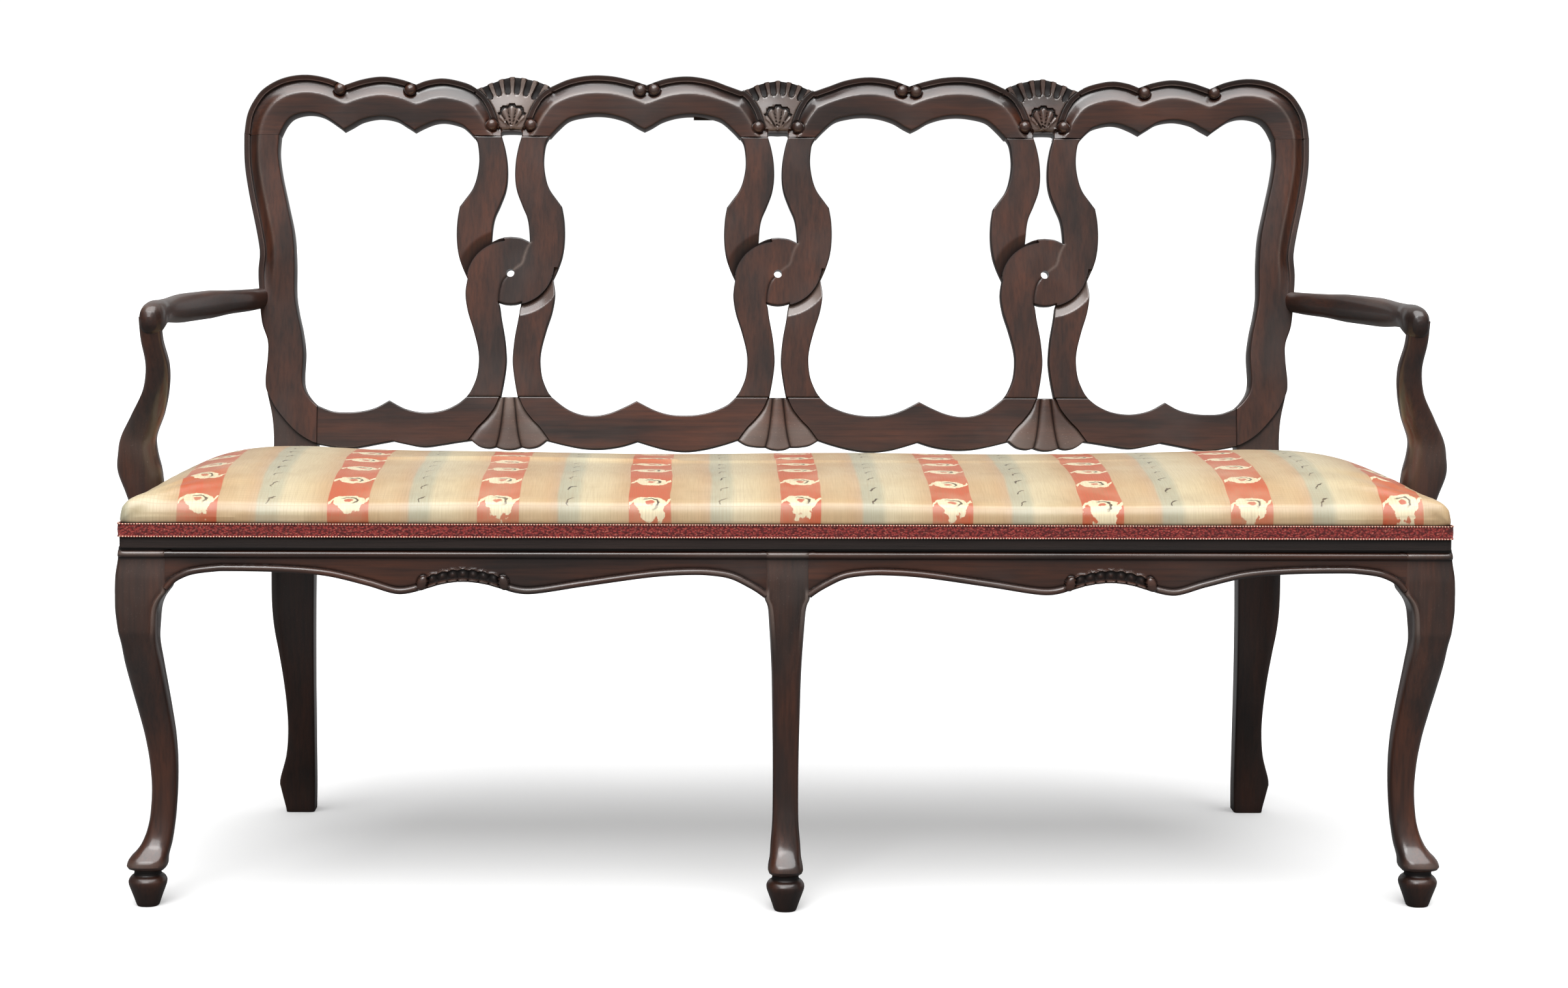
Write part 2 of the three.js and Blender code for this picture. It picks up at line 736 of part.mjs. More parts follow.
// A sloping cut in the strand that passes behind the other, square to the edge of the curl
function reliefCutter(centre, direction) {
  const near = curlRadius - reliefLength;
  const far = curlRadius + reliefLength;
  const wedge = sideBoard(corners([
    [far, 0], [far, overrun], [near, overrun], [near, -reliefDepth * (far - near) / reliefLength],
  ]), -curlRadius, curlRadius);
  wedge.rotateZ(Math.atan2(direction[1], direction[0]) - Math.PI / 2);
  const curl = rod(curlRadius, [0, 0, -overrun * 3], [0, 0, overrun * 3]);
  return cut(wedge, curl).translate(centre[0], centre[1], 0);
}

function splat() {
  const outer = strandOuterShares.map((run) => scaled(run, splatHalfWidth, backHeight));
  const upper = upperGapShares.map((run) => scaled(run, splatHalfWidth, backHeight));
  const lower = lowerGapShares.map((run) => scaled(run, splatHalfWidth, backHeight));
  const backwards = (runs) => runs.map((run) => run.slice().reverse()).reverse();
  const across = (runs) => runs.map((run) => run.map(([a, b]) => [-a, b]));
  const runs = [
    ...outer, ...lower, ...backwards(across(lower)), ...backwards(across(outer)), ...across(upper),
    ...backwards(upper),
  ];
  const board = backBoard(outline(runs), splatThickness, 0);
  const trimLow = [-splatHalfWidth * 2, lowerJointHeight + fitGap, -splatThickness * 2];
  const trimHigh = [splatHalfWidth * 2, crestJointHeight - fitGap, splatThickness * 2];
  const holeBack = [0, curlCentreHeight, -splatThickness * 2];
  const hole = rod(curlHoleRadius, holeBack, [0, curlCentreHeight, overrun]);
  const behindRight = reliefCutter([curlOffset, curlCentreHeight + curlRise], [1, -1]);
  const behindLeft = reliefCutter([-curlOffset, curlCentreHeight - curlRise], [-1, 1]);
  const body = cut(common(board, block(trimLow, trimHigh)), hole, behindRight, behindLeft);
  const tenons = [...strandTops(0), ...strandFeet(0)];
  return join(body, ...tenons.map((tenon) => block(...tenon)));
}

// Lower rail: shares of pairSpacing and of backHeight, from the centre plane to the right
const railUpperShares = [
  [[0.157, 0.1888], [0.190, 0.1695], [0.244, 0.1535], [0.298, 0.1452], [0.353, 0.143], [0.407, 0.1459],
    [0.461, 0.157], [0.526, 0.179]],
  [[0.526, 0.179], [0.570, 0.164], [0.624, 0.149], [0.678, 0.142], [0.733, 0.145], [0.787, 0.160],
    [0.843, 0.1888]],
  [[1.157, 0.1888], [1.194, 0.1695], [1.248, 0.154], [1.316, 0.149], [1.384, 0.158], [1.444, 0.179]],
  [[1.444, 0.179], [1.493, 0.161], [1.547, 0.1515], [1.601, 0.149], [1.655, 0.1515], [1.7115, 0.166]],
];
const railLowerShares = [
  [[1.7115, 0.0700], [1.655, 0.0632], [1.601, 0.0590], [1.547, 0.0630], [1.493, 0.0700], [1.430, 0.0780]],
  [[1.430, 0.0780], [1.384, 0.0712], [1.316, 0.0635], [1.248, 0.0690], [1.194, 0.0750], [1.140, 0.0800]],
  [[1.140, 0.0800], [1.110, 0.0655], [1.075, 0.0605], [1.048, 0.0640]],
  [[1.048, 0.0640], [1.025, 0.0590], [1.000, 0.0573], [0.975, 0.0590], [0.952, 0.0640]],
  [[0.952, 0.0640], [0.925, 0.0605], [0.890, 0.0655], [0.860, 0.0800]],
  [[0.860, 0.0800], [0.787, 0.0680], [0.720, 0.0600], [0.651, 0.0590], [0.580, 0.0660], [0.522, 0.0780]],
  [[0.522, 0.0780], [0.461, 0.0655], [0.407, 0.0570], [0.339, 0.0534], [0.271, 0.0590], [0.205, 0.0700],
    [0.150, 0.0820]],
  [[0.150, 0.0820], [0.118, 0.0700], [0.080, 0.0655], [0.046, 0.0650]],
  [[0.046, 0.0650], [0.025, 0.0595], [0, 0.0575]],
];

const railTenon = [
  [railJointHalfWidth - fitGap * 2, railTenonBottom, -strandTenonDepth - railTenonThickness],
  [railJointHalfWidth + railTenonLength, railTenonBottom + railTenonHeight, -strandTenonDepth],
];

function lowerRail() {
  const upper = railUpperShares.map((run) => scaled(run, pairSpacing, backHeight));
  const lower = railLowerShares.map((run) => scaled(run, pairSpacing, backHeight));
  const right = [...upper, ...lower];
  const left = right.map(flipped).reverse();
  let board = backBoard(outline([...right, ...left]), lowerRailThickness, 0);
  for (const [, centre] of pairCentres) {
    for (const tenon of strandFeet(centre)) {
      board = cut(board, grownBlock(...tenon));
    }
  }
  const tenon = block(...railTenon);
  return join(board, tenon, mirrored(tenon));
}

// Back post on the right: sawn to one outline seen from the front and another from the side

// Stile part: shares of stileHalfWidth and of backHeight. Leg part: of stileHalfWidth and of railTop.
const stileOuterShares = [[1, 0.90], [1, 0.8457], [0.998, 0.772], [0.989, 0.697], [0.973, 0.599],
  [0.967, 0.548], [0.969, 0.499], [0.967, 0.450], [0.9615, 0.376], [0.950, 0.328], [0.949, 0.290],
  [0.9525, 0.231],
  [0.950, 0.200], [0.940, 0.140], [0.936, 0.084], [0.9365, 0.020]];
const legOuterShares = [[0.9395, 1], [0.9403, 0.80], [0.9405, 0.668], [0.937, 0.587], [0.929, 0.507],
  [0.922, 0.427], [0.917, 0.344], [0.9155, 0.264], [0.920, 0.182], [0.933, 0.102]];
const footOuterShares = [[0.933, 0.102], [0.931, 0.070], [0.9225, 0.012], [0.9215, 0]];
const legInnerShares = [[0.8685, 0], [0.8665, 0.10], [0.8650, 0.264], [0.8640, 0.427], [0.8625, 0.60],
  [0.8603, 0.78]];
const stileInnerShares = [[0.8562, 0.1661], [0.868, 0.181], [0.880, 0.205], [0.8845, 0.235], [0.883, 0.300],
  [0.888, 0.352], [0.896, 0.400], [0.9015, 0.450], [0.9025, 0.530], [0.907, 0.600], [0.9186, 0.672],
  [0.931, 0.746], [0.9365, 0.800], [0.935, 0.8457], [0.930, 0.90]];
// Straight face that the lower rail meets
const railSeatShares = [[railJointShare, 0.05], [railJointShare, 0.1661]];
// Side view of the leg: shares of railTop, of footKick behind postFrontY and of rearFootDepth
const rearLegShares = [[0, 1, 1], [0.08, 0.97, 0.92], [0.20, 0.74, 0.90], [0.42, 0.36, 0.97],
  [0.60, 0.13, 1.04], [0.80, 0, 1.08], [1, 0, 1.08]];
const stileFlatShare = 0.44;
const stileProudShare = 0.54;
// Lower edge of the raised face: shares of stileHalfWidth and of backHeight
const faceEdgeShares = [[0.962, 0.235], [0.949, 0.200], [0.931, 0.156], [0.896, 0.103], [0.862, 0.074],
  [0.84, 0.068]];

function stileRun(shares) {
  return shares.map(([across, up]) => [across * stileHalfWidth, rakePoint(up * backHeight, 0)[1]]);
}

function postBlank() {
  const straightFrom = legInnerShares[legInnerShares.length - 1][1];
  const front = outline([
    stileRun(stileOuterShares), scaled(legOuterShares, stileHalfWidth, railTop),
    scaled(footOuterShares, stileHalfWidth, railTop), scaled(legInnerShares, stileHalfWidth, railTop),
    [[rearInnerHalfWidth, railTop * straightFrom], [rearInnerHalfWidth, railTop]],
    stileRun(railSeatShares), stileRun(stileInnerShares),
  ]);
  const legFront = rearLegShares.map(([up, kick]) => [postFrontY + kick * footKick, up * railTop]);
  const legBack = rearLegShares.map(([up, kick, deep]) => (
    [postFrontY + kick * footKick + deep * rearFootDepth, up * railTop]));
  const top = crestJointHeight - fitGap;
  const side = outline([
    legFront,
    [[postFrontY, railTop], rakePoint(0, 0)],
    [rakePoint(0, 0), rakePoint(backHeight * stileFlatShare, 0)],
    [rakePoint(backHeight * stileProudShare, crestProud), rakePoint(top, crestProud)],
    [rakePoint(top, -postDepthTop), rakePoint(0, -postDepthSeat)],
    legBack.reverse(),
  ]);
  const sawnFront = frontBoard(front, 0, postFrontY * 2);
  return common(sawnFront, sideBoard(side, rearInnerHalfWidth / 2, stileHalfWidth * 2));
}

function rightPost() {
  const curve = outline([scaled(faceEdgeShares, stileHalfWidth, backHeight)]);
  const edge = curve.map((point) => point.toArray());
  const below = [[rearInnerHalfWidth / 2, edge[edge.length - 1][1]], [rearInnerHalfWidth / 2, -overrun],
    [stileHalfWidth, -overrun], [stileHalfWidth, edge[0][1]]];
  const step = fromBack(backBoard(corners([...edge, ...below]), postFaceStep, overrun));
  const topTenon = fromBack(block(...stileTenon));
  const mortises = [
    fromBack(grownBlock(...railTenon)),
    mirrored(grownBlock(...rearTenon)),
    mirrored(grownBlock(...sideRearTenon)),
    grownBlock(...armTenonBlock),
  ];
  return cut(join(postBlank(), topTenon), step, ...mortises);
}

// Arms and supports, drawn on the left

// Along the arm: shares of armLength back, of armSpreadInward in, of armDrop down
const armPathShares = [
  [0, 0, 0], [0.008, 0, 0], [0.028, 0, 0], [0.062, 0.01, 0.02], [0.125, 0.01, 0.08], [0.24, 0, 0.30],
  [0.44, 0.07, 0.55], [0.64, 0.28, 0.75], [0.75, 0.49, 0.80], [0.87, 0.72, 0.90], [0.965, 0.86, 0.97],
  [1, 0.97, 1],
];
// Half width and half height of the arm at those places, as shares of armHalf
const armSizeShares = [
  [0.22, 0.22], [0.47, 0.47], [0.67, 0.68], [0.70, 0.71], [0.70, 0.73], [0.80, 0.80], [0.94, 0.98],
  [0.94, 0.97], [0.86, 0.84], [0.76, 0.78], [0.66, 0.74], [0.60, 0.72],
];
const armSquareness = 1.35;

const armTenonBlock = [
  [armTenonX, armTenonY, armHeight - armDrop - armTenonHeight / 2],
  [armTenonX + armTenonLength, armTenonY + armTenonThickness, armHeight - armDrop + armTenonHeight / 2],
];

function armBlank() {
  const path = smoothRows(armPathShares.map(([along, inward, down]) => [
    inward * armSpreadInward - armSpreadFront, armFrontY + along * armLength, armHeight - down * armDrop,
  ]), armRings);
  const sizes = smoothRows(armSizeShares.map(([wide, tall]) => (
    [wide * armHalf, tall * armHalf, 0])), armRings);
  const rings = path.map((place, k) => {
    const before = new THREE.Vector3(...path[Math.max(k - 1, 0)]);
    const after = new THREE.Vector3(...path[Math.min(k + 1, path.length - 1)]);
    const heading = after.sub(before).setZ(0).normalize();
    const sideways = new THREE.Vector3().crossVectors(heading, alongZ);
    const centre = new THREE.Vector3(...place);
    const [wide, tall] = sizes[k];
    return { centre, across: alongZ, up: sideways, halfAcross: tall, halfUp: wide };
  });
  return loft(rings, armSquareness);
}

// Up the support: shares of supportRise, of supportSwing inwards, of supportLean forwards,
// and half sizes across and front to back as shares of supportHalf
const supportPlaceShares = [
  [0, 0.68, 0], [0.105, 0.53, 0], [0.228, 0.35, 0], [0.298, 0.235, 0], [0.388, 0.045, 0], [0.458, 0, 0.045],
  [0.514, 0.05, 0.104], [0.615, 0.506, 0.343], [0.717, 0.888, 0.552], [0.812, 1, 0.716],
  [0.914, 0.868, 0.896], [1, 0.84, 1],
];
const supportSizeShares = [
  [0.51, 0.66], [0.62, 0.68], [0.73, 0.70], [0.87, 0.74], [1, 0.78], [0.89, 0.76],
  [0.81, 0.72], [0.735, 0.66], [0.58, 0.58], [0.527, 0.54], [0.49, 0.51], [0.49, 0.50],
];
const supportSquareness = 1.45;

function supportBlank() {
  const path = smoothRows(supportPlaceShares.map(([up, inward, forward]) => [
    inward * supportSwing - supportSpread, supportBaseY - forward * supportLean,
    supportBaseHeight + up * supportRise,
  ]), armRings);
  const sizes = smoothRows(supportSizeShares.map(([wide, deep]) => (
    [wide * supportHalf, deep * supportHalf, 0])), armRings);
  const rings = path.map((place, k) => levelRing(place, sizes[k][0], sizes[k][1]));
  return loft(rings, supportSquareness);
}

const supportTopX = supportPlaceShares[supportPlaceShares.length - 1][1] * supportSwing - supportSpread;
const supportTopY = supportBaseY - supportLean;
const supportTop = supportBaseHeight + supportRise;
const pinStart = [supportTopX, supportTopY, supportTop - supportPinSink];
const pinEnd = [supportTopX, supportTopY, supportTop + supportPinRise];

function leftArm() {
  const post = mirrored(postBlank());
  const trimmed = cut(armBlank(), post, shifted(post, -fitGap, 0, 0), shifted(post, 0, -fitGap, 0));
  const socket = rod(supportPinRadius + fitGap, pinStart, shiftedPoint(pinEnd, fitGap));
  return cut(join(trimmed, mirrored(block(...armTenonBlock))), socket);
}

function shiftedPoint(point, up) {
  return [point[0], point[1], point[2] + up];
}

// Screws through the side rail into the support, square to the rail
const screwOut = new THREE.Vector3(-Math.cos(railAngle), Math.sin(railAngle), 0);

function railPoint(drop, outwards) {
  const face = new THREE.Vector3(railOutside(supportBaseY), supportBaseY, railTop - drop);
  return face.addScaledVector(screwOut, outwards).toArray();
}

function screwHole(drop) {
  const start = railPoint(drop, -sideRailThickness - overrun);
  return rod(screwRadius + fitGap, start, railPoint(drop, screwBite + fitGap));
}

function leftScrew(drop) {
  const seat = -sideRailThickness - fitGap;
  const head = rod(screwHeadRadius, railPoint(drop, seat - screwHeadHeight), railPoint(drop, seat));
  const shankStart = railPoint(drop, seat - screwHeadHeight / 2);
  return join(head, rod(screwRadius, shankStart, railPoint(drop, screwBite)));
}

function leftSupport() {
  const inner = -rearInnerHalfWidth;
  const nearY = supportBaseY - supportHalf;
  const farY = supportBaseY + supportHalf;
  const lapGap = fitGap / Math.cos(railAngle);
  const railSide = flatBoard(corners([
    [railOutside(nearY) - lapGap, nearY], [inner, nearY], [inner, farY], [railOutside(farY) - lapGap, farY],
  ]), 0, railTop + fitGap);
  const seatSide = flatBoard(corners(seatPlan(seatClearance)), railTop, cushionTop + seatLift);
  const arm = armBlank();
  const trimmed = cut(supportBlank(), railSide, seatSide, arm, shifted(arm, 0, 0, -fitGap));
  return cut(join(trimmed, rod(supportPinRadius, pinStart, pinEnd)), ...screwDrops.map(screwHole));
}

// Loose seat

const seatSlope = (seatFrontHalfWidth - seatRearHalfWidth) / (seatRearY + seatOverhang);
const seatAngle = Math.atan(seatSlope);
const seatLow = railTop + fitGap;
const frameTop = seatLow + seatFrameHeight;
const webbingLow = frameTop + fitGap;
const clothLow = webbingLow + webbingThickness + fitGap;
const cushionLow = frameTop + fitGap;
const cushionTop = cushionLow + cushionSideHeight + cushionCrown;

function seatEdge(y, outwards) {
  return (y + seatOverhang) * seatSlope - seatFrontHalfWidth - outwards / Math.cos(seatAngle);
}

function seatPlan(outwards) {
  const frontY = -seatOverhang - outwards;
  const rearY = seatRearY + outwards;
  const front = seatEdge(frontY, outwards);
  const rear = seatEdge(rearY, outwards);
  return [[front, frontY], [-front, frontY], [-rear, rearY], [rear, rearY]];
}

function roundedPlan(points, radius) {
  const shape = new THREE.Shape();
  points.forEach(([x, y], k) => {
    const corner = new THREE.Vector2(x, y);
    const before = new THREE.Vector2(...points[(k + points.length - 1) % points.length]);
    const after = new THREE.Vector2(...points[(k + 1) % points.length]);
    const start = before.sub(corner).setLength(radius).add(corner);
    const end = after.sub(corner).setLength(radius).add(corner);
    shape[k ? 'lineTo' : 'moveTo'](start.x, start.y);
    shape.quadraticCurveTo(corner.x, corner.y, end.x, end.y);
  });
  return shape.getPoints(curveSteps);
}

const memberFrontY = seatMemberWidth - seatOverhang;
const memberRearY = seatRearY - seatMemberWidth;
const sideMemberNear = memberFrontY + fitGap;
const sideMemberFar = memberRearY - fitGap;
const seatTenonLow = seatLow + (seatFrameHeight - seatTenonHeight) / 2;

function seatTenon(lowX, nearY, farY) {
  return [[lowX, nearY, seatTenonLow], [lowX + seatTenonWidth, farY, seatTenonLow + seatTenonHeight]];
}

function sideSeatTenons() {
  const shoulder = (seatMemberWidth - seatTenonWidth) / 2;
  const nearX = seatEdge(memberFrontY, 0) + shoulder;
  const farX = seatEdge(memberRearY, 0) + shoulder;
  return [
    seatTenon(nearX, sideMemberNear - seatTenonLength, sideMemberNear + overrun),
    seatTenon(farX, sideMemberFar - overrun, sideMemberFar + seatTenonLength),
  ];
}

function barTenons() {
  return [
    seatTenon(-seatTenonWidth / 2, sideMemberNear - seatTenonLength, sideMemberNear + overrun),
    seatTenon(-seatTenonWidth / 2, sideMemberFar - overrun, sideMemberFar + seatTenonLength),
  ];
}

function crossMember(nearY, farY, which) {
  const plan = flatBoard(roundedPlan(seatPlan(0), seatCornerRadius), seatLow, frameTop);
  const strip = block([-kneeHalfWidth * 2, nearY, 0], [kneeHalfWidth * 2, farY, railTop * 2]);
  const sideMortise = grownBlock(...sideSeatTenons()[which]);
  const barMortise = grownBlock(...barTenons()[which]);
  return cut(common(plan, strip), sideMortise, mirrored(sideMortise), barMortise);
}

function leftSeatMember() {
  const width = seatMemberWidth / Math.cos(seatAngle);
  const near = seatEdge(sideMemberNear, 0);
  const far = seatEdge(sideMemberFar, 0);
  const plan = [
    [near, sideMemberNear], [near + width, sideMemberNear],
    [far + width, sideMemberFar], [far, sideMemberFar],
  ];
  const board = flatBoard(corners(plan), seatLow, frameTop);
  return join(board, ...sideSeatTenons().map((tenon) => block(...tenon)));
}

function seatBar() {
  const half = seatMemberWidth / 2;
  const board = block([-half, sideMemberNear, seatLow], [half, sideMemberFar, frameTop]);
  return join(board, ...barTenons().map((tenon) => block(...tenon)));
}

function webbing() {
  const high = webbingLow + webbingThickness;
  const nearY = webbingMargin;
  const farY = seatRearY - webbingMargin;
  const straps = [];
  for (let k = 0; k < webbingLongCount; k += 1) {
    const y = nearY + (farY - nearY - webbingWidth) * k / (webbingLongCount - 1);
    const reach = -seatEdge(y + webbingWidth, 0) - webbingMargin;
    straps.push(block([-reach, y, webbingLow], [reach, y + webbingWidth, high]));
  }
  const span = 2 * (seatRearHalfWidth - webbingMargin) - webbingWidth;
  for (let k = 0; k < webbingCrossCount; k += 1) {
    const lowX = span * (k / (webbingCrossCount - 1) - 1 / 2) - webbingWidth / 2;
    const low = [lowX, nearY - seatOverhang, webbingLow];
    straps.push(block(low, [lowX + webbingWidth, farY + seatOverhang, high]));
  }
  return join(...straps);
}

function baseCloth() {
  return flatBoard(corners(seatPlan(-clothMargin)), clothLow, clothLow + baseClothThickness);
}

// Cushion levels: height share of the side, how far the side stands out or in, drawn-in share
const cushionSideShares = [[0, 0, 0], [0.10, 0.6, 0.3], [0.28, 1, 0.8], [0.48, 0.6, 1]];
const cushionEdgeSteps = 4;
const cushionCrownShares = [0.16, 0.34, 0.56, 0.80, 0.97];

function cushionRing(plan, outwards, drawn, z) {
  const halfDepth = (seatRearY + seatOverhang) / 2;
  const middleY = halfDepth - seatOverhang;
  return plan.map((point) => {
    const acrossShare = point.x / seatFrontHalfWidth;
    const deepShare = (point.y - middleY) / halfDepth;
    const pull = drawn * cushionDrawIn * (1 - acrossShare ** 2) * Math.abs(deepShare);
    const x = point.x * (1 + outwards / seatFrontHalfWidth);
    const y = middleY + (point.y - middleY) * (1 + (outwards - pull) / halfDepth);
    return new THREE.Vector3(x, y, z);
  });
}

function cushionBody() {
  const [frontLeft, ...others] = seatPlan(0);
  const middle = new THREE.Vector2(0, -seatOverhang);
  const edge = roundedPlan([...others, frontLeft], cushionCornerRadius);
  const plan = new THREE.Shape([middle, ...edge, middle]).getSpacedPoints(cushionPoints).slice(0, -1);
  const halfDepth = (seatRearY + seatOverhang) / 2;
  const rings = cushionSideShares.map(([up, out, drawn]) => (
    cushionRing(plan, cushionBulge * out, drawn, cushionLow + cushionSideHeight * up)));
  const [turnShare, turnOut] = cushionSideShares[cushionSideShares.length - 1];
  const turnLow = cushionLow + cushionSideHeight * turnShare;
  const turnHeight = cushionSideHeight * (1 - turnShare);
  for (let k = 1; k <= cushionEdgeSteps; k += 1) {
    const turn = Math.PI / 2 * k / cushionEdgeSteps;
    const outwards = cushionBulge * turnOut - cushionEdgeRound * (1 - Math.cos(turn));
    rings.push(cushionRing(plan, outwards, 1, turnLow + turnHeight * Math.sin(turn)));
  }
  const roundedInset = cushionEdgeRound - cushionBulge * turnOut;
  for (const share of cushionCrownShares) {
    const inset = roundedInset + (halfDepth - roundedInset) * share;
    const crown = cushionCrown * (1 - (1 - share) ** 2);
    rings.push(cushionRing(plan, -inset, 1 - share, cushionLow + cushionSideHeight + crown));
  }
  return shell(rings);
}

// A closed skin through rings of equally many points, with flat lids
function shell(rings) {
  const count = rings[0].length;
  const positions = rings.flat().flatMap((point) => point.toArray());
  const index = [];
  for (let r = 0; r < rings.length - 1; r += 1) {
    for (let k = 0; k < count; k += 1) {
      const a = r * count + k;
      const b = r * count + (k + 1) % count;
      index.push(a, b, b + count, a, b + count, a + count);
    }
  }
  const last = (rings.length - 1) * count;
  for (const [a, b, c] of THREE.ShapeUtils.triangulateShape(rings[rings.length - 1], [])) {
    index.push(last + a, last + b, last + c);
  }
  for (const [a, b, c] of THREE.ShapeUtils.triangulateShape(rings[0], [])) {
    index.push(a, c, b);
  }
  const geometry = new THREE.BufferGeometry();
  geometry.setAttribute('position', new THREE.Float32BufferAttribute(positions, 3));
  geometry.setIndex(index);
  return geometry;
}

function cushion() {
  const recessTop = clothLow + baseClothThickness + fitGap;
  const recess = flatBoard(corners(seatPlan(-cushionRecessMargin)), cushionLow - overrun, recessTop);
  return cut(cushionBody(), recess);
}

function braid() {
  const low = seatLow + bareBandHeight;
  const high = low + braidHeight;
  const far = fitGap + braidThickness;
  const outside = flatBoard(roundedPlan(seatPlan(far), seatCornerRadius + far), low, high);
  const inside = roundedPlan(seatPlan(fitGap), seatCornerRadius + fitGap);
  return cut(outside, flatBoard(inside, low - overrun, high + overrun));
}

// Mending plate, in the back's own frame

const plateBack = crestThickness - crestProud + fitGap;
const plateScrewTop = plateBottom + plateHeight - plateScrewSpacing / 2;
const plateScrewHeights = [plateScrewTop - plateScrewSpacing, plateScrewTop];

function plateHole(height, radius, depth) {
  const start = [plateCentre, height, -plateBack - plateThickness - overrun];
  return rod(radius, start, [plateCentre, height, depth]);
}

function mendingPlate() {
  const low = [plateCentre - plateWidth / 2, plateBottom, -plateBack - plateThickness];
  const plate = block(low, [plateCentre + plateWidth / 2, plateBottom + plateHeight, -plateBack]);
  return cut(plate, ...plateScrewHeights.map((height) => plateHole(height, plateScrewRadius + fitGap, 0)));
}

function plateScrew(height) {
  const under = -plateBack - plateThickness - fitGap;
  const shank = rod(plateScrewRadius, [plateCentre, height, under - plateScrewRadius / 2],
    [plateCentre, height, plateScrewLength - plateBack]);
  const outer = [plateCentre, height, under - plateScrewRadius];
  const head = rod(plateScrewRadius * 2, outer, [plateCentre, height, under]);
  return join(head, shank);
}

// Assembly

const settee = new THREE.Group();
const pieces = new THREE.Group();
const seat = new THREE.Group();
settee.add(pieces);
pieces.add(back, seat);

function addPair(group, name, leftGeometry, finish) {
  group.add(named(`${name}_left`, leftGeometry, finish));
  group.add(named(`${name}_right`, mirrored(leftGeometry), finish));
}

const middleMortise = grownBlock(...apronMiddleTenon);
const middleLeg = cut(centreLeg(), middleMortise, mirrored(middleMortise), grownBlock(...braceFrontTenon));
const cornerLeg = cut(leftLeg(), grownBlock(...apronOuterTenon), grownBlock(...sideFrontTenon));

addPair(pieces, 'front_leg', cornerLeg, walnut);
pieces.add(named('front_leg_center', middleLeg, walnut));
addPair(pieces, 'back_post', mirrored(rightPost()), walnut);
addPair(pieces, 'front_apron', leftApron(), walnut);
addPair(pieces, 'side_rail', cut(leftSideRail(), ...screwDrops.map(screwHole)), walnut);
pieces.add(named('rear_seat_rail', rearRail(), walnut));
pieces.add(named('rear_bearer', bearer(), innerTimber));
pieces.add(named('cross_brace', brace(), innerTimber));
addPair(pieces, 'corner_block', leftCornerBlock(), innerTimber);
addPair(pieces, 'arm', leftArm(), walnut);
addPair(pieces, 'arm_support', leftSupport(), walnut);
screwDrops.forEach((drop, k) => addPair(pieces, `arm_screw_${k + 1}`, leftScrew(drop), iron));

const crestHoles = plateScrewHeights.map((height) => (
  plateHole(height, plateScrewRadius + fitGap, plateScrewLength - plateBack + fitGap)));
back.add(named('crest_rail', cut(crest(), ...crestHoles), walnut));
back.add(named('lower_back_rail', lowerRail(), walnut));
for (const [name, centre] of pairCentres) {
  const mesh = named(`splat_${name}`, splat(), walnut);
  mesh.position.x = centre;
  back.add(mesh);
}
back.add(named('mending_plate', mendingPlate(), iron));
plateScrewHeights.forEach((height, k) => {
  back.add(named(`mending_screw_${k + 1}`, plateScrew(height), iron));
});

seat.add(named('seat_frame_front', crossMember(-seatOverhang, memberFrontY, 0), seatTimber));
seat.add(named('seat_frame_rear', crossMember(memberRearY, seatRearY, 1), seatTimber));
addPair(seat, 'seat_frame', leftSeatMember(), seatTimber);
seat.add(named('seat_frame_bar', seatBar(), seatTimber));
seat.add(named('seat_webbing', webbing(), jute));
seat.add(named('seat_base_cloth', baseCloth(), linen));
seat.add(named('seat_cushion', cushion(), silk));
seat.add(named('seat_braid', braid(), crimsonBraid));

const bounds = new THREE.Box3().setFromObject(settee);
pieces.position.set(0, -(bounds.min.y + bounds.max.y) / 2, -bounds.min.z);

export default settee;
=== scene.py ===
"""Four-chair-back settee: carved walnut on cabriole legs, with a loose striped seat."""

import math

import bmesh
import bpy
import numpy as np
from mathutils import Matrix, Vector
from mathutils.geometry import delaunay_2d_cdt
from mathutils.kdtree import KDTree


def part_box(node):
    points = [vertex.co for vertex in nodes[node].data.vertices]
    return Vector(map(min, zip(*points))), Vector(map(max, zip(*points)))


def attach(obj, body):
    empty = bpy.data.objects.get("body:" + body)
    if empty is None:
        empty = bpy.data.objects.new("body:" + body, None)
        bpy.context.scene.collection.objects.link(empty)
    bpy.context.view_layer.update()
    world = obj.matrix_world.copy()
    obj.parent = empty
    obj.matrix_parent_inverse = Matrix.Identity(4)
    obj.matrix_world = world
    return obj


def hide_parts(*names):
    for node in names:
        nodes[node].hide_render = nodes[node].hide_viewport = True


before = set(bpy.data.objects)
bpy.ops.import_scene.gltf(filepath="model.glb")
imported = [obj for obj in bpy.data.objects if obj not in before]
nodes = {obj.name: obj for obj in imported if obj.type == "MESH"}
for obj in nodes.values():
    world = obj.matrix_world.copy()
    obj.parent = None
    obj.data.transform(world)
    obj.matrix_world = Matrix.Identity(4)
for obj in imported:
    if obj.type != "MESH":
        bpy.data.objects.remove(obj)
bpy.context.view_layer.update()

# Sizes in millimetres, with the front of the seat at y = 0 and the floor at z = 0
MM = 0.001
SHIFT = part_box("seat_frame_front")[0].y * 1000 + 2  # the seat's front edge in the frame
PAIR = 368.5  # from the middle of one splat to the next
STILE = PAIR * 2  # half the width of the back
BACK = 551.0  # height of the back, along its lean
JOINT = BACK * 0.8457  # where stiles and splats meet the crest
FOOT_JOINT = BACK * 0.1888  # where the splats meet the lower rail
RAIL_TOP = 450.0
POST_FRONT = 472.0
REAR = STILE * 0.9403
REAR_INNER = STILE * 0.8603
KNEE = REAR + 117
RAKE = math.radians(11)
BACK_PLACE, BACK_FOOT = 475, 480  # how far back and how high the face of the back starts
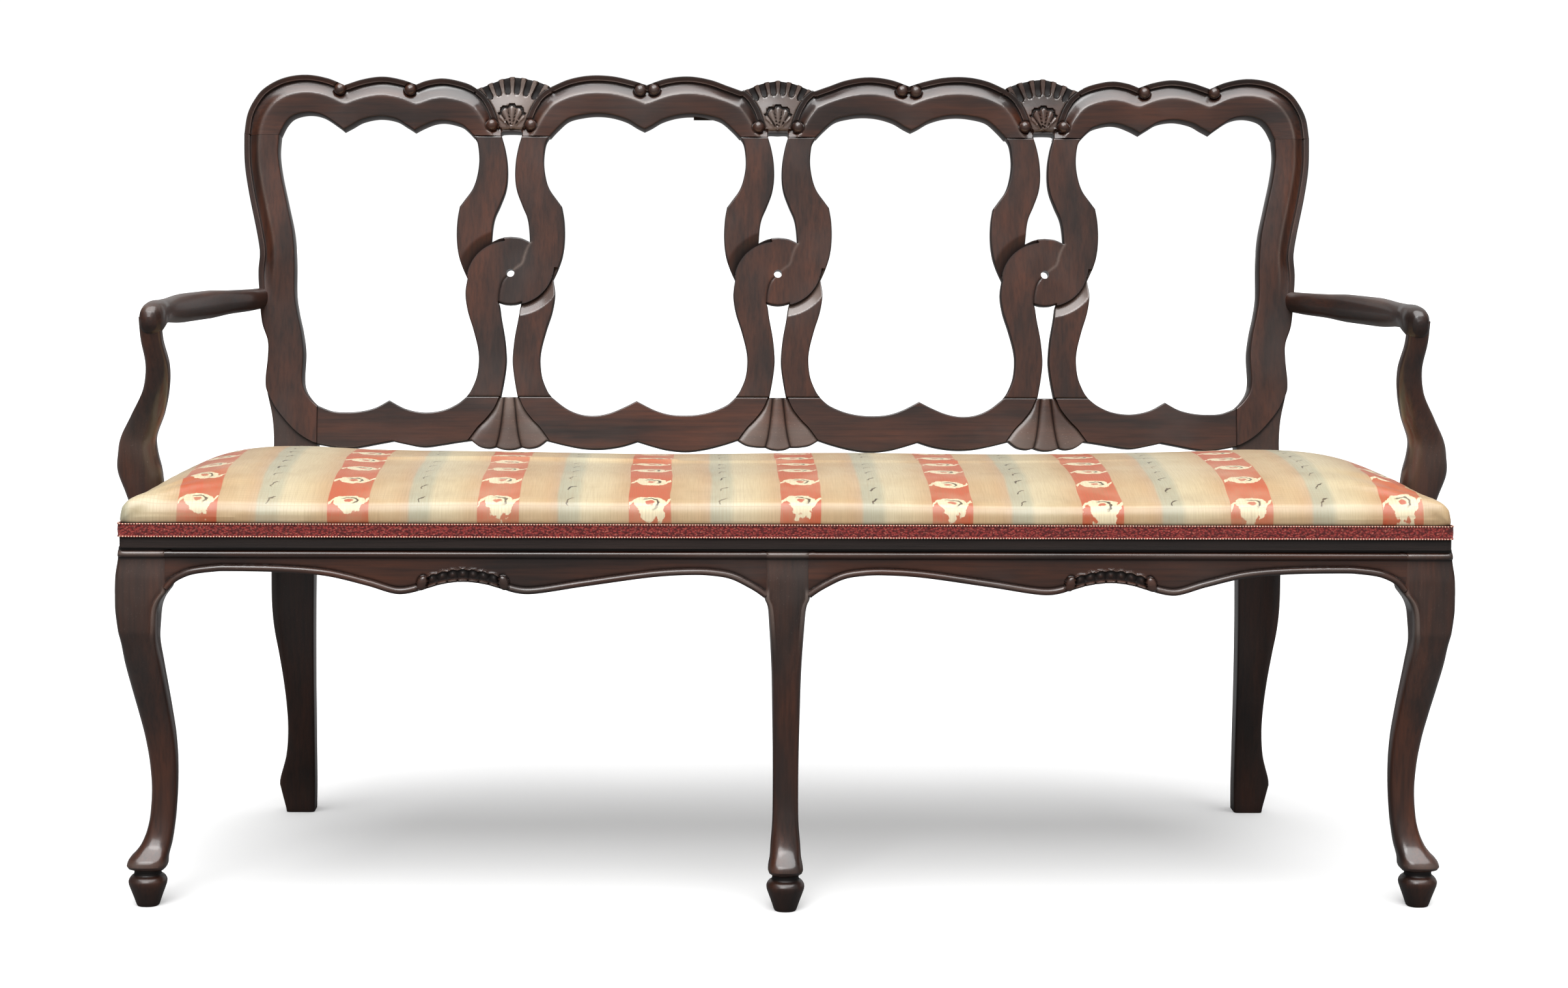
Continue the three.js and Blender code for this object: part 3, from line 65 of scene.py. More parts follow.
SPLAT = 74.5  # half the width of a splat
RIM_OFFSETS = (-2.4, -1.3, -0.6, 0.6, 1.3, 2.4)  # rows of points along every edge of a board


# Places

def at_home(points):
    """Points of the settee's own frame, in metres and in their final place."""
    return (np.asarray(points, float) + (0, SHIFT, 0)) * MM


def on_back(u, v, w):
    """Across, up and out of the leaning face of the back."""
    y = BACK_PLACE + v * math.sin(RAKE) - w * math.cos(RAKE)
    z = BACK_FOOT + v * math.cos(RAKE) + w * math.sin(RAKE)
    return at_home(np.stack([u, y, z], -1))


def on_front(u, v, w):
    """Across, up and out of the front of the aprons."""
    return at_home(np.stack([u, 2 - w, v], -1))


# Curves

def between(t, p1, p2, m1, m2):
    """Points of the curve from p1 to p2 that leaves along m1 and arrives along m2."""
    return ((2 * t**3 - 3 * t**2 + 1) * p1 + (t**3 - 2 * t**2 + t) * m1
            + (3 * t**2 - 2 * t**3) * p2 + (t**3 - t**2) * m2)


def smooth_run(points, step=1.6):
    """A smooth curve through the points, drawn in short steps."""
    points = np.array(points, float)
    ends = np.vstack([points[:1], points, points[-1:]])
    drawn = []
    for k in range(len(points) - 1):
        p0, p1, p2, p3 = ends[k:k + 4]
        count = max(1, round(np.linalg.norm(p2 - p1) / step))
        t = (np.arange(count) / count)[:, None]
        if len(points) < 3:
            drawn.append(p1 + (p2 - p1) * t)
            continue
        drawn.append(between(t, p1, p2, (p2 - p0) / 2, (p3 - p1) / 2))
    return np.vstack([*drawn, points[-1:]])


def sized(shares, across, up):
    """Points given as shares of two sizes."""
    return np.array(shares, float) * (across, up)


def loop_of(runs, step=1.6):
    """Runs that meet at corners, as one closed loop."""
    points = np.vstack([smooth_run(run, step) for run in runs])
    apart = np.linalg.norm(points - np.roll(points, 1, 0), axis=1)
    return points[apart > 0.05]


def other_side(runs):
    """The same runs on the left side, in the order that closes a loop."""
    return [np.array(run)[::-1] * (-1, 1) for run in runs[::-1]]


def drawn_out(rows, count):
    """Rows of values drawn out smoothly into a number of stations."""
    rows = np.array(rows, float)
    ends = np.vstack([2 * rows[0] - rows[1], rows, 2 * rows[-1] - rows[-2]])
    stations = []
    for place in np.linspace(0, len(rows) - 1, count):
        k = min(int(place), len(rows) - 2)
        t = place - k
        p0, p1, p2, p3 = ends[k:k + 4]
        spans = np.linalg.norm(np.diff(ends[k:k + 4], axis=0), axis=1)
        d0, d1, d2 = np.maximum(spans, 1e-6)**0.5
        m1 = ((p1 - p0) / d0 - (p2 - p0) / (d0 + d1) + (p2 - p1) / d1) * d1
        m2 = ((p2 - p1) / d1 - (p3 - p1) / (d1 + d2) + (p3 - p2) / d2) * d1
        stations.append(between(t, p1, p2, m1, m2))
    return np.array(stations)


def distance(points, path, reach=75):
    """How far each point is from a path, looked for only within reach."""
    starts, spans = path[:-1], np.diff(path, axis=0)
    lengths = np.maximum((spans**2).sum(1), 1e-12)
    axis = int(np.argmax(np.ptp(points, axis=0))) if len(points) else 0
    low, high = np.minimum(path[:-1], path[1:])[:, axis], np.maximum(path[:-1], path[1:])[:, axis]
    order = np.argsort(points[:, axis])
    far = np.full(len(points), float(reach**2))
    for first in range(0, len(points), 400):
        these = order[first:first + 400]
        near = (high > points[these[0], axis] - reach) & (low < points[these[-1], axis] + reach)
        if not near.any():
            continue
        part = points[these, None] - starts[near]
        share = np.clip((part * spans[near]).sum(2) / lengths[near], 0, 1)
        gap = ((part - share[..., None] * spans[near])**2).sum(2).min(1)
        far[these] = np.minimum(gap, far[these])
    return np.sqrt(far)


def nearest(points, paths):
    """How far each point is from the nearest of several paths."""
    return np.min([distance(points, path) for path in paths], axis=0)


def inside(points, loop):
    """Which points lie within a closed loop."""
    order = np.argsort(points[:, 1])
    x, y = points[order].T
    within = np.zeros(len(points), bool)
    for (a, b), (c, d) in zip(loop, np.roll(loop, -1, 0)):
        first, last = np.searchsorted(y, (min(b, d), max(b, d)))
        if first < last:
            within[first:last] ^= x[first:last] < (c - a) * (y[first:last] - b) / (d - b) + a
    found = np.empty(len(points), bool)
    found[order] = within
    return found


def ramp(values, low, high):
    """0 below low and 1 above high, smoothly between."""
    t = np.clip((values - low) / (high - low), 0, 1)
    return t * t * (3 - 2 * t)


def line(away, width):
    """1 where away is 0, fading out on both sides over a width."""
    return np.exp(-(away / width)**2)


def bulge(away, half):
    """The height of a half-round bead, 1 at its middle and 0 beyond its half width."""
    return np.sqrt(np.clip(1 - (away / half)**2, 0, 1))


def flat_back(depth):
    """The back of a board of one thickness."""
    return lambda points: np.full(len(points), depth)


# Pieces

GRAINS = {"x": (0, 1, 2), "y": (1, 0, 2), "z": (2, 0, 1)}


def finished(name, bm, finish, body, stands_for=(), grain="x", sharp=38):
    """A bmesh made into a piece that rides on a body. Its finish gives the slot."""
    bmesh.ops.recalc_face_normals(bm, faces=bm.faces[:])
    mesh = bpy.data.meshes.new(name)
    bm.to_mesh(mesh)
    bm.free()
    piece = bpy.data.objects.new(name, mesh)
    bpy.context.scene.collection.objects.link(piece)
    mesh.materials.append(finish)
    mesh.shade_smooth()
    mesh.set_sharp_from_angle(angle=math.radians(sharp))
    give_grain(mesh, name, grain)
    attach(piece, body)
    if stands_for:
        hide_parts(*stands_for)
    return piece


def corners_of(mesh, kind=float):
    """The places of a mesh's corners."""
    places = np.empty(len(mesh.vertices) * 3, kind)
    mesh.vertices.foreach_get("co", places)
    return places.reshape(-1, 3)


def give_grain(mesh, name, grain):
    """Places for the grain, which runs along one axis and starts elsewhere in each piece."""
    if "grain" in mesh.attributes:
        return
    run = corners_of(mesh, np.float32)[:, GRAINS[grain]] + sum(map(ord, name)) * 0.137
    mesh.attributes.new("grain", "FLOAT_VECTOR", "POINT").data.foreach_set("vector", run.ravel())


def kept_node(name, finish, grain="x"):
    """A node of the frame whose own shape stays, with a better finish."""
    mesh = nodes[name].data
    mesh.materials.clear()
    mesh.materials.append(finish)
    give_grain(mesh, name, grain)


def on_board(points, loop, holes):
    """Which points lie on a board and not in one of its holes."""
    kept = inside(points, loop)
    for hole in holes:
        kept &= ~inside(points, hole)
    return kept


def face_points(loop, holes, rims, rows, cell):
    """Points on the face of a board: in rows beside its carved lines, and an even field between."""
    followed = []
    for path, offsets in [*rows, *[(rim, RIM_OFFSETS) for rim in rims]]:
        heading = np.gradient(path, axis=0)
        heading /= np.maximum(np.linalg.norm(heading, axis=1), 1e-9)[:, None]
        sideways = heading[:, ::-1] * (-1, 1)
        for offset in offsets:
            row = path + sideways * offset
            followed.append(row[np.abs(distance(row, path) - abs(offset)) < 0.08])
    followed = np.vstack(followed)
    low, high = loop.min(0), loop.max(0)
    u, v = np.meshgrid(np.arange(low[0], high[0], cell), np.arange(low[1], high[1], cell * 0.866))
    u[1::2] += cell / 2
    tree = KDTree(len(followed))
    for k, (a, b) in enumerate(followed):
        tree.insert((a, b, 0), k)
    tree.balance()
    field = np.stack([u.ravel(), v.ravel()], -1)
    field = field[[tree.find((a, b, 0))[2] > cell * 0.6 for a, b in field]]
    loose = np.vstack([followed, field])
    loose = loose[on_board(loose, loop, holes)]
    return loose[nearest(loose, rims) > 0.3]


def carved_board(name, loop, rows, surface, behind, place, stands_for, holes=(), cell=2.1, grain="x"):
    """A board with a carved face, whose height and marks surface gives at each point."""
    loops = [loop, *holes]
    rims = [np.vstack([one, one[:1]]) for one in loops]
    edges, start = [], 0
    for one in loops:
        edges += [(start + k, start + (k + 1) % len(one)) for k in range(len(one))]
        start += len(one)
    points = np.vstack([*loops, face_points(loop, holes, rims, rows, cell)])
    found, _, faces, *_ = delaunay_2d_cdt([Vector(p) for p in points], edges, [], 0, 1e-4)
    found = np.array([tuple(p) for p in found])
    faces = np.array([face for face in faces if len(face) == 3])
    kept = on_board(found[faces].mean(1), loop, holes)
    height, *marks = surface(found)
    painted_shade_and_seams, wear_and_highlight = np.clip(marks, 0, 1)
    bm = bmesh.new()
    shade = bm.verts.layers.float.new("painted_shade_and_seams")
    rubbed_and_highlit = bm.verts.layers.float.new("wear_and_highlight")
    order = bm.verts.layers.int.new("order")
    corners = []
    for point, d, w in zip(place(found[:, 0], found[:, 1], height), painted_shade_and_seams, wear_and_highlight):
        corner = bm.verts.new(point)
        corner[order] = len(corners)
        corner[shade] = d
        corner[rubbed_and_highlit] = w
        corners.append(corner)
    for face in faces[kept]:
        bm.faces.new([corners[k] for k in face])
    bmesh.ops.delete(bm, geom=[v for v in bm.verts if not v.link_faces], context="VERTS")
    flat = place(found[:, 0], found[:, 1], behind(found))
    rim = [edge for edge in bm.edges if edge.is_boundary]
    made = bmesh.ops.extrude_edge_only(bm, edges=rim)["geom"]
    far = {v for v in made if isinstance(v, bmesh.types.BMVert)}
    for corner in far:
        corner.co = flat[corner[order]]
        # Corners at the back of each board are made a little darker.
        corner[shade] = 0.12
    back = [e for e in made if isinstance(e, bmesh.types.BMEdge) and far.issuperset(e.verts)]
    bmesh.ops.triangle_fill(bm, use_beauty=True, edges=back)
    return finished(name, bm, walnut, "frame", stands_for, grain)


def drawn_ring(stations, rubbed_and_highlit=None):
    """A bmesh tube drawn from its first ring through the others, with closed ends."""
    bm = bmesh.new()
    order = bm.verts.layers.int.new("order")
    wear_and_highlight = bm.verts.layers.float.new("wear_and_highlight")
    first = [bm.verts.new(point) for point in stations[0]]
    for k, corner in enumerate(first):
        corner[order] = k
    edges = list(bm.faces.new(first).edges)
    for number, station in enumerate(stations[1:], 1):
        made = bmesh.ops.extrude_edge_only(bm, edges=edges)["geom"]
        fresh = {v for v in made if isinstance(v, bmesh.types.BMVert)}
        for corner in fresh:
            corner.co = station[corner[order]]
            if rubbed_and_highlit:
                corner[wear_and_highlight] = rubbed_and_highlit[number][corner[order]]
        edges = [e for e in made if isinstance(e, bmesh.types.BMEdge) and fresh.issuperset(e.verts)]
    bmesh.ops.contextual_create(bm, geom=edges)
    return bm


def oval(squareness, count=40):
    """A rounded square of half size 1."""
    turn = (np.arange(count) + 0.5) * 2 * np.pi / count
    c, s = np.cos(turn), np.sin(turn)
    circle = np.stack([c, s], -1)
    return np.sign(circle) * np.abs(circle)**(1 / squareness)


def level_rings(places, halves, shape):
    """Level rings round places, each with its half sizes across and front to back."""
    rings = []
    for place, (across, deep) in zip(places, halves):
        ring = np.zeros((len(shape), 3))
        ring[:, 0] = shape[:, 0] * across
        ring[:, 1] = shape[:, 1] * deep
        rings.append(at_home(ring + place))
    return rings


def shade_piece(piece, painted_shade_and_seams, wear_and_highlight):
    """Marks how much painted shade and how much rubbing with painted highlight each corner of a piece gets.
    """
    marks = piece.data.attributes
    places = corners_of(piece.data, np.float32) / MM - (0, SHIFT, 0)
    for title, function in (("painted_shade_and_seams", painted_shade_and_seams), ("wear_and_highlight", wear_and_highlight)):
        values = np.clip(function(places), 0, 1).astype(np.float32)
        if title in marks:
            kept = np.empty(len(values), np.float32)
            marks[title].data.foreach_get("value", kept)
            values = np.maximum(values, kept)
        else:
            marks.new(title, "FLOAT", "POINT")
        marks[title].data.foreach_set("value", values)


# Finishes

class Value:
    """A value on its way through the nodes of a finish, open to plain arithmetic."""

    def __init__(self, finish, socket):
        self.finish = finish
        self.socket = socket

    def worked(self, operation, other=0.0):
        return self.finish.math(operation, self, other)

    def __add__(self, other):
        return self.worked("ADD", other)

    def __sub__(self, other):
        return self.worked("SUBTRACT", other)

    def __rsub__(self, other):
        return self.finish.math("SUBTRACT", other, self)

    def __mul__(self, other):
        return self.worked("MULTIPLY", other)

    def __truediv__(self, other):
        return self.worked("DIVIDE", other)

    def __pow__(self, other):
        return self.worked("POWER", other)

    def __abs__(self):
        return self.worked("ABSOLUTE")

    def level(self, low, high, first=0.0, last=1.0):
        """Brought from the span low to high into the span first to last, and held there."""
        spans = dict(enumerate((self, low, high, first, last)))
        return self.finish.node("MapRange", 0, {"clamp": True}, spans)

    def parts(self):
        """The three parts of a place or of a colour."""
        node = self.finish.node("SeparateXYZ", Vector=self).socket.node
        return [Value(self.finish, socket) for socket in node.outputs]


class Finish:
    """A material and its nodes."""

    def __init__(self, name):
        self.material = bpy.data.materials.new(name)
        self.material.use_nodes = True
        self.tree = self.material.node_tree

    def node(self, kind, output=0, settings=None, numbered=None, **named):
        """One output of a new node, whose inputs are given by number or by name."""
        made = self.tree.nodes.new("ShaderNode" + kind)
        for key, value in (settings or {}).items():
            setattr(made, key, value)
        for key, value in (numbered or {}).items():
            self.feed(made.inputs[key], value)
        for key, value in named.items():
            self.feed(made.inputs[key.replace("_", " ")], value)
        return Value(self, made.outputs[output])

    def feed(self, socket, value):
        if isinstance(value, Value):
            self.tree.links.new(value.socket, socket)
        else:
            socket.default_value = value

    def math(self, operation, a, b):
        return self.node("Math", 0, {"operation": operation}, {0: a, 1: b})

    def blend(self, share, a, b):
        """Colour a where the share is 0 and colour b where it is 1."""
        return self.node("Mix", 2, {"data_type": "RGBA"}, {0: share, 6: a, 7: b})

    def attribute(self, name, output="Fac"):
        return self.node("Attribute", output, {"attribute_name": name})

    def home(self):
        return self.node("TexCoord", "Object")

    def noise(self, source, scale, detail=3.0, roughness=0.55):
        return self.node("TexNoise", "Fac", Vector=source, Scale=scale, Detail=detail, Roughness=roughness)

    def stretched(self, source, scale):
        return self.node("Mapping", Vector=source, Scale=scale)

    def threads(self, source, scale, detail=3.0, roughness=0.55):
        """Noise with a scale of its own along each axis."""
        return self.noise(self.stretched(source, scale), 1.0, detail, roughness)

    def wave(self, source, axis, scale, distortion=0.0):
        settings = {"bands_direction": axis}
        return self.node("TexWave", "Fac", settings, Vector=source, Scale=scale, Distortion=distortion)

    def colours(self, source, stops):
        """A row of colours along a value that runs from 0 to 1."""
        found = self.node("ValToRGB", Fac=source)
        row = found.socket.node.color_ramp.elements
        row[0].position, row[0].color = stops[0]
        row[1].position, row[1].color = stops[-1]
        for place, tone in stops[1:-1]:
            row.new(place).color = tone
        return found

    def bump(self, height, strength, depth=0.0006):
        return self.node("Bump", Strength=strength, Distance=depth, Height=height)

    def done(self, **inputs):
        for key, value in inputs.items():
            self.feed(self.tree.nodes["Principled BSDF"].inputs[key.replace("_", " ")], value)
        return self.material


def colour(red, green, blue):
    """A screen colour as the renderer counts it."""
    return (*[((c / 255 + 0.055) / 1.055)**2.4 if c > 10 else c / 3295 for c in (red, green, blue)], 1)


def polished_walnut():
    """Waxed walnut: near black for painted shade in the hollows, grooves and along edges and for dark
    seams, pale grey for rubbing and painted highlights on the ridges.
    """
    finish = Finish("walnut")
    # Near black serves both the grain's streaks and the painted shade; the pale grey on the next line
    # serves both rubbing and painted highlights.
    brown, russet, near_black = colour(47, 32, 27), colour(82, 44, 27), colour(17, 12, 11)
    rubbed_and_highlit, grey = colour(140, 124, 115), colour(68, 58, 55)
    grain = finish.attribute("grain", "Vector")
    painted_shade_and_seams = finish.attribute("painted_shade_and_seams")
    wear_and_highlight = finish.attribute("wear_and_highlight")
    figure = finish.threads(grain, (5, 26, 26), 4)
    streaks = finish.threads(grain, (9, 260, 260), 5, 0.62)
    pores = finish.threads(grain, (60, 1500, 1500), 2)
    patches = finish.threads(grain, (7, 9, 9))
    specks = finish.threads(grain, (330, 700, 700), 2).level(0.66, 0.72)
    worn_and_highlit = wear_and_highlight * patches.level(0.3, 0.62, 0.25, 1)
    base = finish.blend(figure.level(0.36, 0.66), brown, russet)
    base = finish.blend(streaks.level(0.42, 0.72, 0, 0.55), base, near_black)
    base = finish.blend(patches.level(0.52, 0.76, 0, 0.42), base, grey)
    # Rubbing and painted highlight: marked ridges and specks turn pale grey.
    base = finish.blend(worn_and_highlit**1.5 * 0.72, base, rubbed_and_highlit)
    base = finish.blend(specks * (worn_and_highlit * 0.8), base, rubbed_and_highlit)
    # Painted shade and seams: marked corners go near black and lose their coat further down.
    base = finish.blend(painted_shade_and_seams * 0.93, base, near_black)
    rough = figure.level(0.2, 0.8, 0.28, 0.38) + painted_shade_and_seams * 0.22 + patches.level(0.4, 0.8, -0.02, 0.1)
    return finish.done(Base_Color=base, Roughness=rough, Specular_IOR_Level=0.45,
                       Normal=finish.bump(streaks * 0.5 + pores * 0.5, 0.22),
                       Coat_Weight=(1.0 - painted_shade_and_seams) * 0.85, Coat_Roughness=0.15)


def plain_timber(name, tone, deep):
    finish = Finish(name)
    grain = finish.attribute("grain", "Vector")
    rings = finish.threads(grain, (3, 40, 40), 4)
    streaks = finish.threads(grain, (12, 420, 420))
    base = finish.blend(rings.level(0.35, 0.7), tone, deep)
    base = finish.blend(streaks.level(0.45, 0.75, 0, 0.6), base, deep)
    return finish.done(Base_Color=base, Roughness=streaks.level(0.3, 0.8, 0.6, 0.85),
                       Normal=finish.bump(streaks, 0.3))


def woven(name, tone, deep, pitch):
    """Plain weave, closer where the pitch is higher."""
    finish = Finish(name)
    home = finish.home()
    weave = finish.wave(home, "X", pitch, 0.6) * finish.wave(home, "Y", pitch, 0.6)
    base = finish.blend(weave.level(0, 0.6), deep, tone)
    base = finish.blend(finish.noise(home, 30.0).level(0.4, 0.8, 0, 0.4), base, deep)
    return finish.done(Base_Color=base, Roughness=0.92, Normal=finish.bump(weave, 0.5))


def dull_iron():
    finish = Finish("iron")
    rust = finish.noise(finish.home(), 160.0, 4)
    base = finish.blend(rust.level(0.45, 0.7), colour(58, 55, 52), colour(74, 50, 38))
    return finish.done(Base_Color=base, Metallic=rust.level(0.45, 0.7, 0.9, 0.3),
                       Roughness=rust.level(0.3, 0.7, 0.4, 0.75))


walnut = polished_walnut()
inner_timber = plain_timber("inner_timber", colour(112, 82, 58), colour(70, 48, 34))
seat_timber = plain_timber("seat_timber", colour(46, 32, 27), colour(22, 16, 14))
jute = woven("jute", colour(160, 140, 104), colour(104, 86, 58), 260)
linen = woven("linen", colour(190, 178, 148), colour(140, 128, 100), 380)
iron = dull_iron()


# Outlines of the back, as shares of PAIR, STILE or SPLAT across and of BACK up

SKYLINE = [
    [(0, 0.990), (0.054, 0.984), (0.098, 0.973), (0.136, 0.961)],
    [(0.136, 0.961), (0.190, 0.974), (0.258, 0.990), (0.339, 0.998), (0.421, 0.992), (0.494, 0.975)],
    [(0.494, 0.975), (0.556, 0.988), (0.630, 0.998), (0.711, 0.999), (0.787, 0.989), (0.852, 0.970)],
    [(0.852, 0.970), (0.909, 0.986), (1.000, 0.996), (1.072, 0.982), (1.129, 0.965)],
    [(1.129, 0.965), (1.180, 0.980), (1.254, 0.990), (1.316, 0.985), (1.360, 0.974)],
    [(1.360, 0.974), (1.417, 0.987), (1.487, 0.994), (1.560, 0.987), (1.628, 0.972)],
    [(1.628, 0.972), (1.696, 0.990), (1.777, 0.998), (1.859, 0.989), (1.927, 0.964), (1.965, 0.933),
     (1.990, 0.895), (2.000, 0.8457)],
]
SOFFIT = [
    [(1.870, 0.8457), (1.848, 0.876), (1.818, 0.895), (1.764, 0.903), (1.710, 0.896), (1.655, 0.8725),
     (1.631, 0.860)],
    [(1.631, 0.860), (1.601, 0.871), (1.560, 0.886), (1.498, 0.894), (1.438, 0.888), (1.398, 0.873),
     (1.365, 0.859)],
    [(1.365, 0.859), (1.330, 0.8715), (1.289, 0.882), (1.248, 0.884), (1.194, 0.875), (1.167, 0.862),
     (1.144, 0.8457)],
    [(0.856, 0.8457), (0.827, 0.867), (0.787, 0.890), (0.733, 0.900), (0.678, 0.9035), (0.624, 0.900),
     (0.570, 0.889), (0.529, 0.873), (0.502, 0.864)],
    [(0.502, 0.864), (0.475, 0.873), (0.434, 0.889), (0.380, 0.900), (0.324, 0.9035), (0.270, 0.900),
     (0.216, 0.890), (0.174, 0.867), (0.144, 0.8457)],
]
STILE_OUTER = [(1, 0.8457), (0.998, 0.772), (0.989, 0.697), (0.973, 0.599), (0.967, 0.548), (0.969, 0.499),
               (0.967, 0.450), (0.9615, 0.376), (0.950, 0.328), (0.949, 0.290), (0.9525, 0.231),
               (0.950, 0.200), (0.940, 0.140), (0.936, 0.084), (0.9365, 0.020)]
STILE_INNER = [(0.8562, 0.1661), (0.868, 0.181), (0.880, 0.205), (0.8845, 0.235), (0.883, 0.300),
               (0.888, 0.352), (0.896, 0.400), (0.9015, 0.450), (0.9025, 0.530), (0.907, 0.600),
               (0.9186, 0.672), (0.931, 0.746), (0.9365, 0.800), (0.935, 0.8457)]
FACE_EDGE = [(0.970, 0.245), (0.962, 0.235), (0.949, 0.200), (0.931, 0.156), (0.896, 0.103), (0.862, 0.074),
             (0.84, 0.068)]
STRAND_OUTER = [
    [(0.707, 0.8457), (0.631, 0.826), (0.597, 0.784), (0.631, 0.744), (0.711, 0.711), (0.859, 0.682),
     (0.946, 0.666)],
    [(0.946, 0.666), (0.987, 0.632), (0.997, 0.590), (0.966, 0.548), (0.893, 0.515), (0.792, 0.484)],
    [(0.792, 0.484), (0.825, 0.446), (0.779, 0.403), (0.671, 0.356), (0.584, 0.310), (0.564, 0.276),
     (0.600, 0.238), (0.698, 0.205), (0.778, 0.1888)],
]
UPPER_GAP = [
    [(0.188, 0.8457), (0.127, 0.817), (0.080, 0.780), (0.071, 0.740), (0.107, 0.706), (0.201, 0.671),
     (0.295, 0.641), (0.336, 0.613), (0.356, 0.577)],
    [(0.356, 0.577), (0.188, 0.587), (0, 0.590)],
]
LOWER_GAP = [
    [(0.154, 0.1888), (0.100, 0.228), (0.062, 0.267), (0.062, 0.296), (0.094, 0.338), (0.157, 0.385),
     (0.188, 0.414), (0.215, 0.426)],
    [(0.215, 0.426), (0.107, 0.4215), (0, 0.420)],
]
RAIL_UPPER = [
    [(0.157, 0.1888), (0.190, 0.1695), (0.244, 0.1535), (0.298, 0.1452), (0.353, 0.143), (0.407, 0.1459),
     (0.461, 0.157), (0.526, 0.179)],
    [(0.526, 0.179), (0.570, 0.164), (0.624, 0.149), (0.678, 0.142), (0.733, 0.145), (0.787, 0.160),
     (0.843, 0.1888)],
    [(1.157, 0.1888), (1.194, 0.1695), (1.248, 0.154), (1.316, 0.149), (1.384, 0.158), (1.444, 0.179)],
    [(1.444, 0.179), (1.493, 0.161), (1.547, 0.1515), (1.601, 0.149), (1.655, 0.1515), (1.7115, 0.166)],
]
RAIL_LOWER = [
    [(1.7115, 0.0700), (1.655, 0.0632), (1.601, 0.0590), (1.547, 0.0630), (1.493, 0.0700), (1.430, 0.0780)],
    [(1.430, 0.0780), (1.384, 0.0712), (1.316, 0.0635), (1.248, 0.0690), (1.194, 0.0750), (1.140, 0.0800)],
    [(1.140, 0.0800), (1.110, 0.0655), (1.075, 0.0605), (1.048, 0.0640)],
    [(1.048, 0.0640), (1.025, 0.0590), (1.000, 0.0573), (0.975, 0.0590), (0.952, 0.0640)],
    [(0.952, 0.0640), (0.925, 0.0605), (0.890, 0.0655), (0.860, 0.0800)],
    [(0.860, 0.0800), (0.787, 0.0680), (0.720, 0.0600), (0.651, 0.0590), (0.580, 0.0660), (0.522, 0.0780)],
    [(0.522, 0.0780), (0.461, 0.0655), (0.407, 0.0570), (0.339, 0.0534), (0.271, 0.0590), (0.205, 0.0700),
     (0.150, 0.0820)],
    [(0.150, 0.0820), (0.118, 0.0700), (0.080, 0.0655), (0.046, 0.0650)],
    [(0.046, 0.0650), (0.025, 0.0595), (0, 0.0575)],
]
CHAIR_JOINTS = (-PAIR, 0, PAIR)
SIDES = ((-1, "left"), (1, "right"))

# Carving of the crest

SHELL_CENTRE = 462  # height of the middle of a shell's fan
SHELL_FOOT = 474
SHELL_WIDE = 60  # half the width that a shell takes up
NOTCH = 14  # half the width of the notch under a shell
NOTCH_TOP, NOTCH_NARROW = 471.5, 12.8
SLOT_STEP = 10.8  # degrees from one slot of a shell to the next
SLOT_START = 66
SLOT_EDGE = 40
SHELL_HALF = np.array([(474, 14), (484, 19), (491, 21), (505, 26.5), (513, 31), (522, 37), (530, 46),
                       (534.5, 54), (560, 60)])
BUTTONS = [(27.5, 479.5), (172, 531), (191.3, 530.2), (342.3, 481), (396.3, 481), (509.4, 529.6),
           (606.6, 530)]
BUTTON = 8.0
RIM = 7.4
RIM_ROWS = (0.5, 1.2, 2.0, 3.0, 4.2, 5.3, 6.1, 6.6, 7.0, 7.5, 8.1, 8.9, 10.0)
RIM_ROWS += tuple(-offset for offset in RIM_ROWS)


def shell_side(centre, side):
    """The edge of a shell, up from the button under it to the skyline."""
    path = smooth_run(SHELL_HALF[1:7, ::-1])
    return path * (side, 1) + (centre, 0)


def crest_rims():
    """Where each carved rim has its outer edge: up the side of a shell, along an arch."""
    arches = [smooth_run(sized(run, PAIR, BACK)) for run in SKYLINE]
    right = [
        np.vstack([shell_side(0, 1), arches[1][2:]]),
        np.vstack([arches[2][:-2], shell_side(PAIR, -1)[::-1]]),
        np.vstack([shell_side(PAIR, 1), arches[4][2:]]),
        arches[5], arches[6],
    ]
    return right + [path[::-1] * (-1, 1) for path in right]


def rounded_edge(away, radius):
    """How much lower the face is close to its own edge."""
    near = np.clip(radius - away, 0, radius)
    return radius - np.sqrt(radius**2 - near**2)


def moulded(near_rim, near_opening, keep):
    """The moulded face of the crest and stiles: sloping rim, hollow, soft ridge and flat band."""
    total = near_rim + near_opening
    foot = RIM + 0.7
    ridge = np.maximum(total * 0.43, foot + 5)
    climb = np.clip((near_rim - foot) / (ridge - foot), 0, 1)
    fall = np.clip((near_rim - ridge) / np.maximum(total - ridge, 1), 0, 1)
    crown = line(near_rim - ridge, 2.2)
    face = np.where(near_rim < ridge, -3.8 + 6.8 * climb**1.7, 3.0 - 2.4 * fall**1.3) - 0.5 * crown
    arris = line(near_rim - RIM + 0.5, 0.5)
    slope = 3.8 - 2.6 * np.clip(near_rim / RIM, 0, 1)**1.3 - rounded_edge(near_rim, 1.5) + 0.4 * arris
    height = np.where(near_rim < RIM, slope, face) * keep
    groove = line(near_rim - RIM - 0.5, 0.8)
    # Painted shade in the groove at the rim's foot, on the rim's slope and along the outer edge; painted
    # highlight on the ridge's crown and the rim's arris.
    painted_shade_and_seams = (0.9 * groove + 0.45 * (near_rim < RIM - 1)) * keep + 0.5 * line(near_rim, 1.3)
    wear_and_highlight = (0.8 * crown + 0.95 * arris) * keep
    return height, painted_shade_and_seams, wear_and_highlight


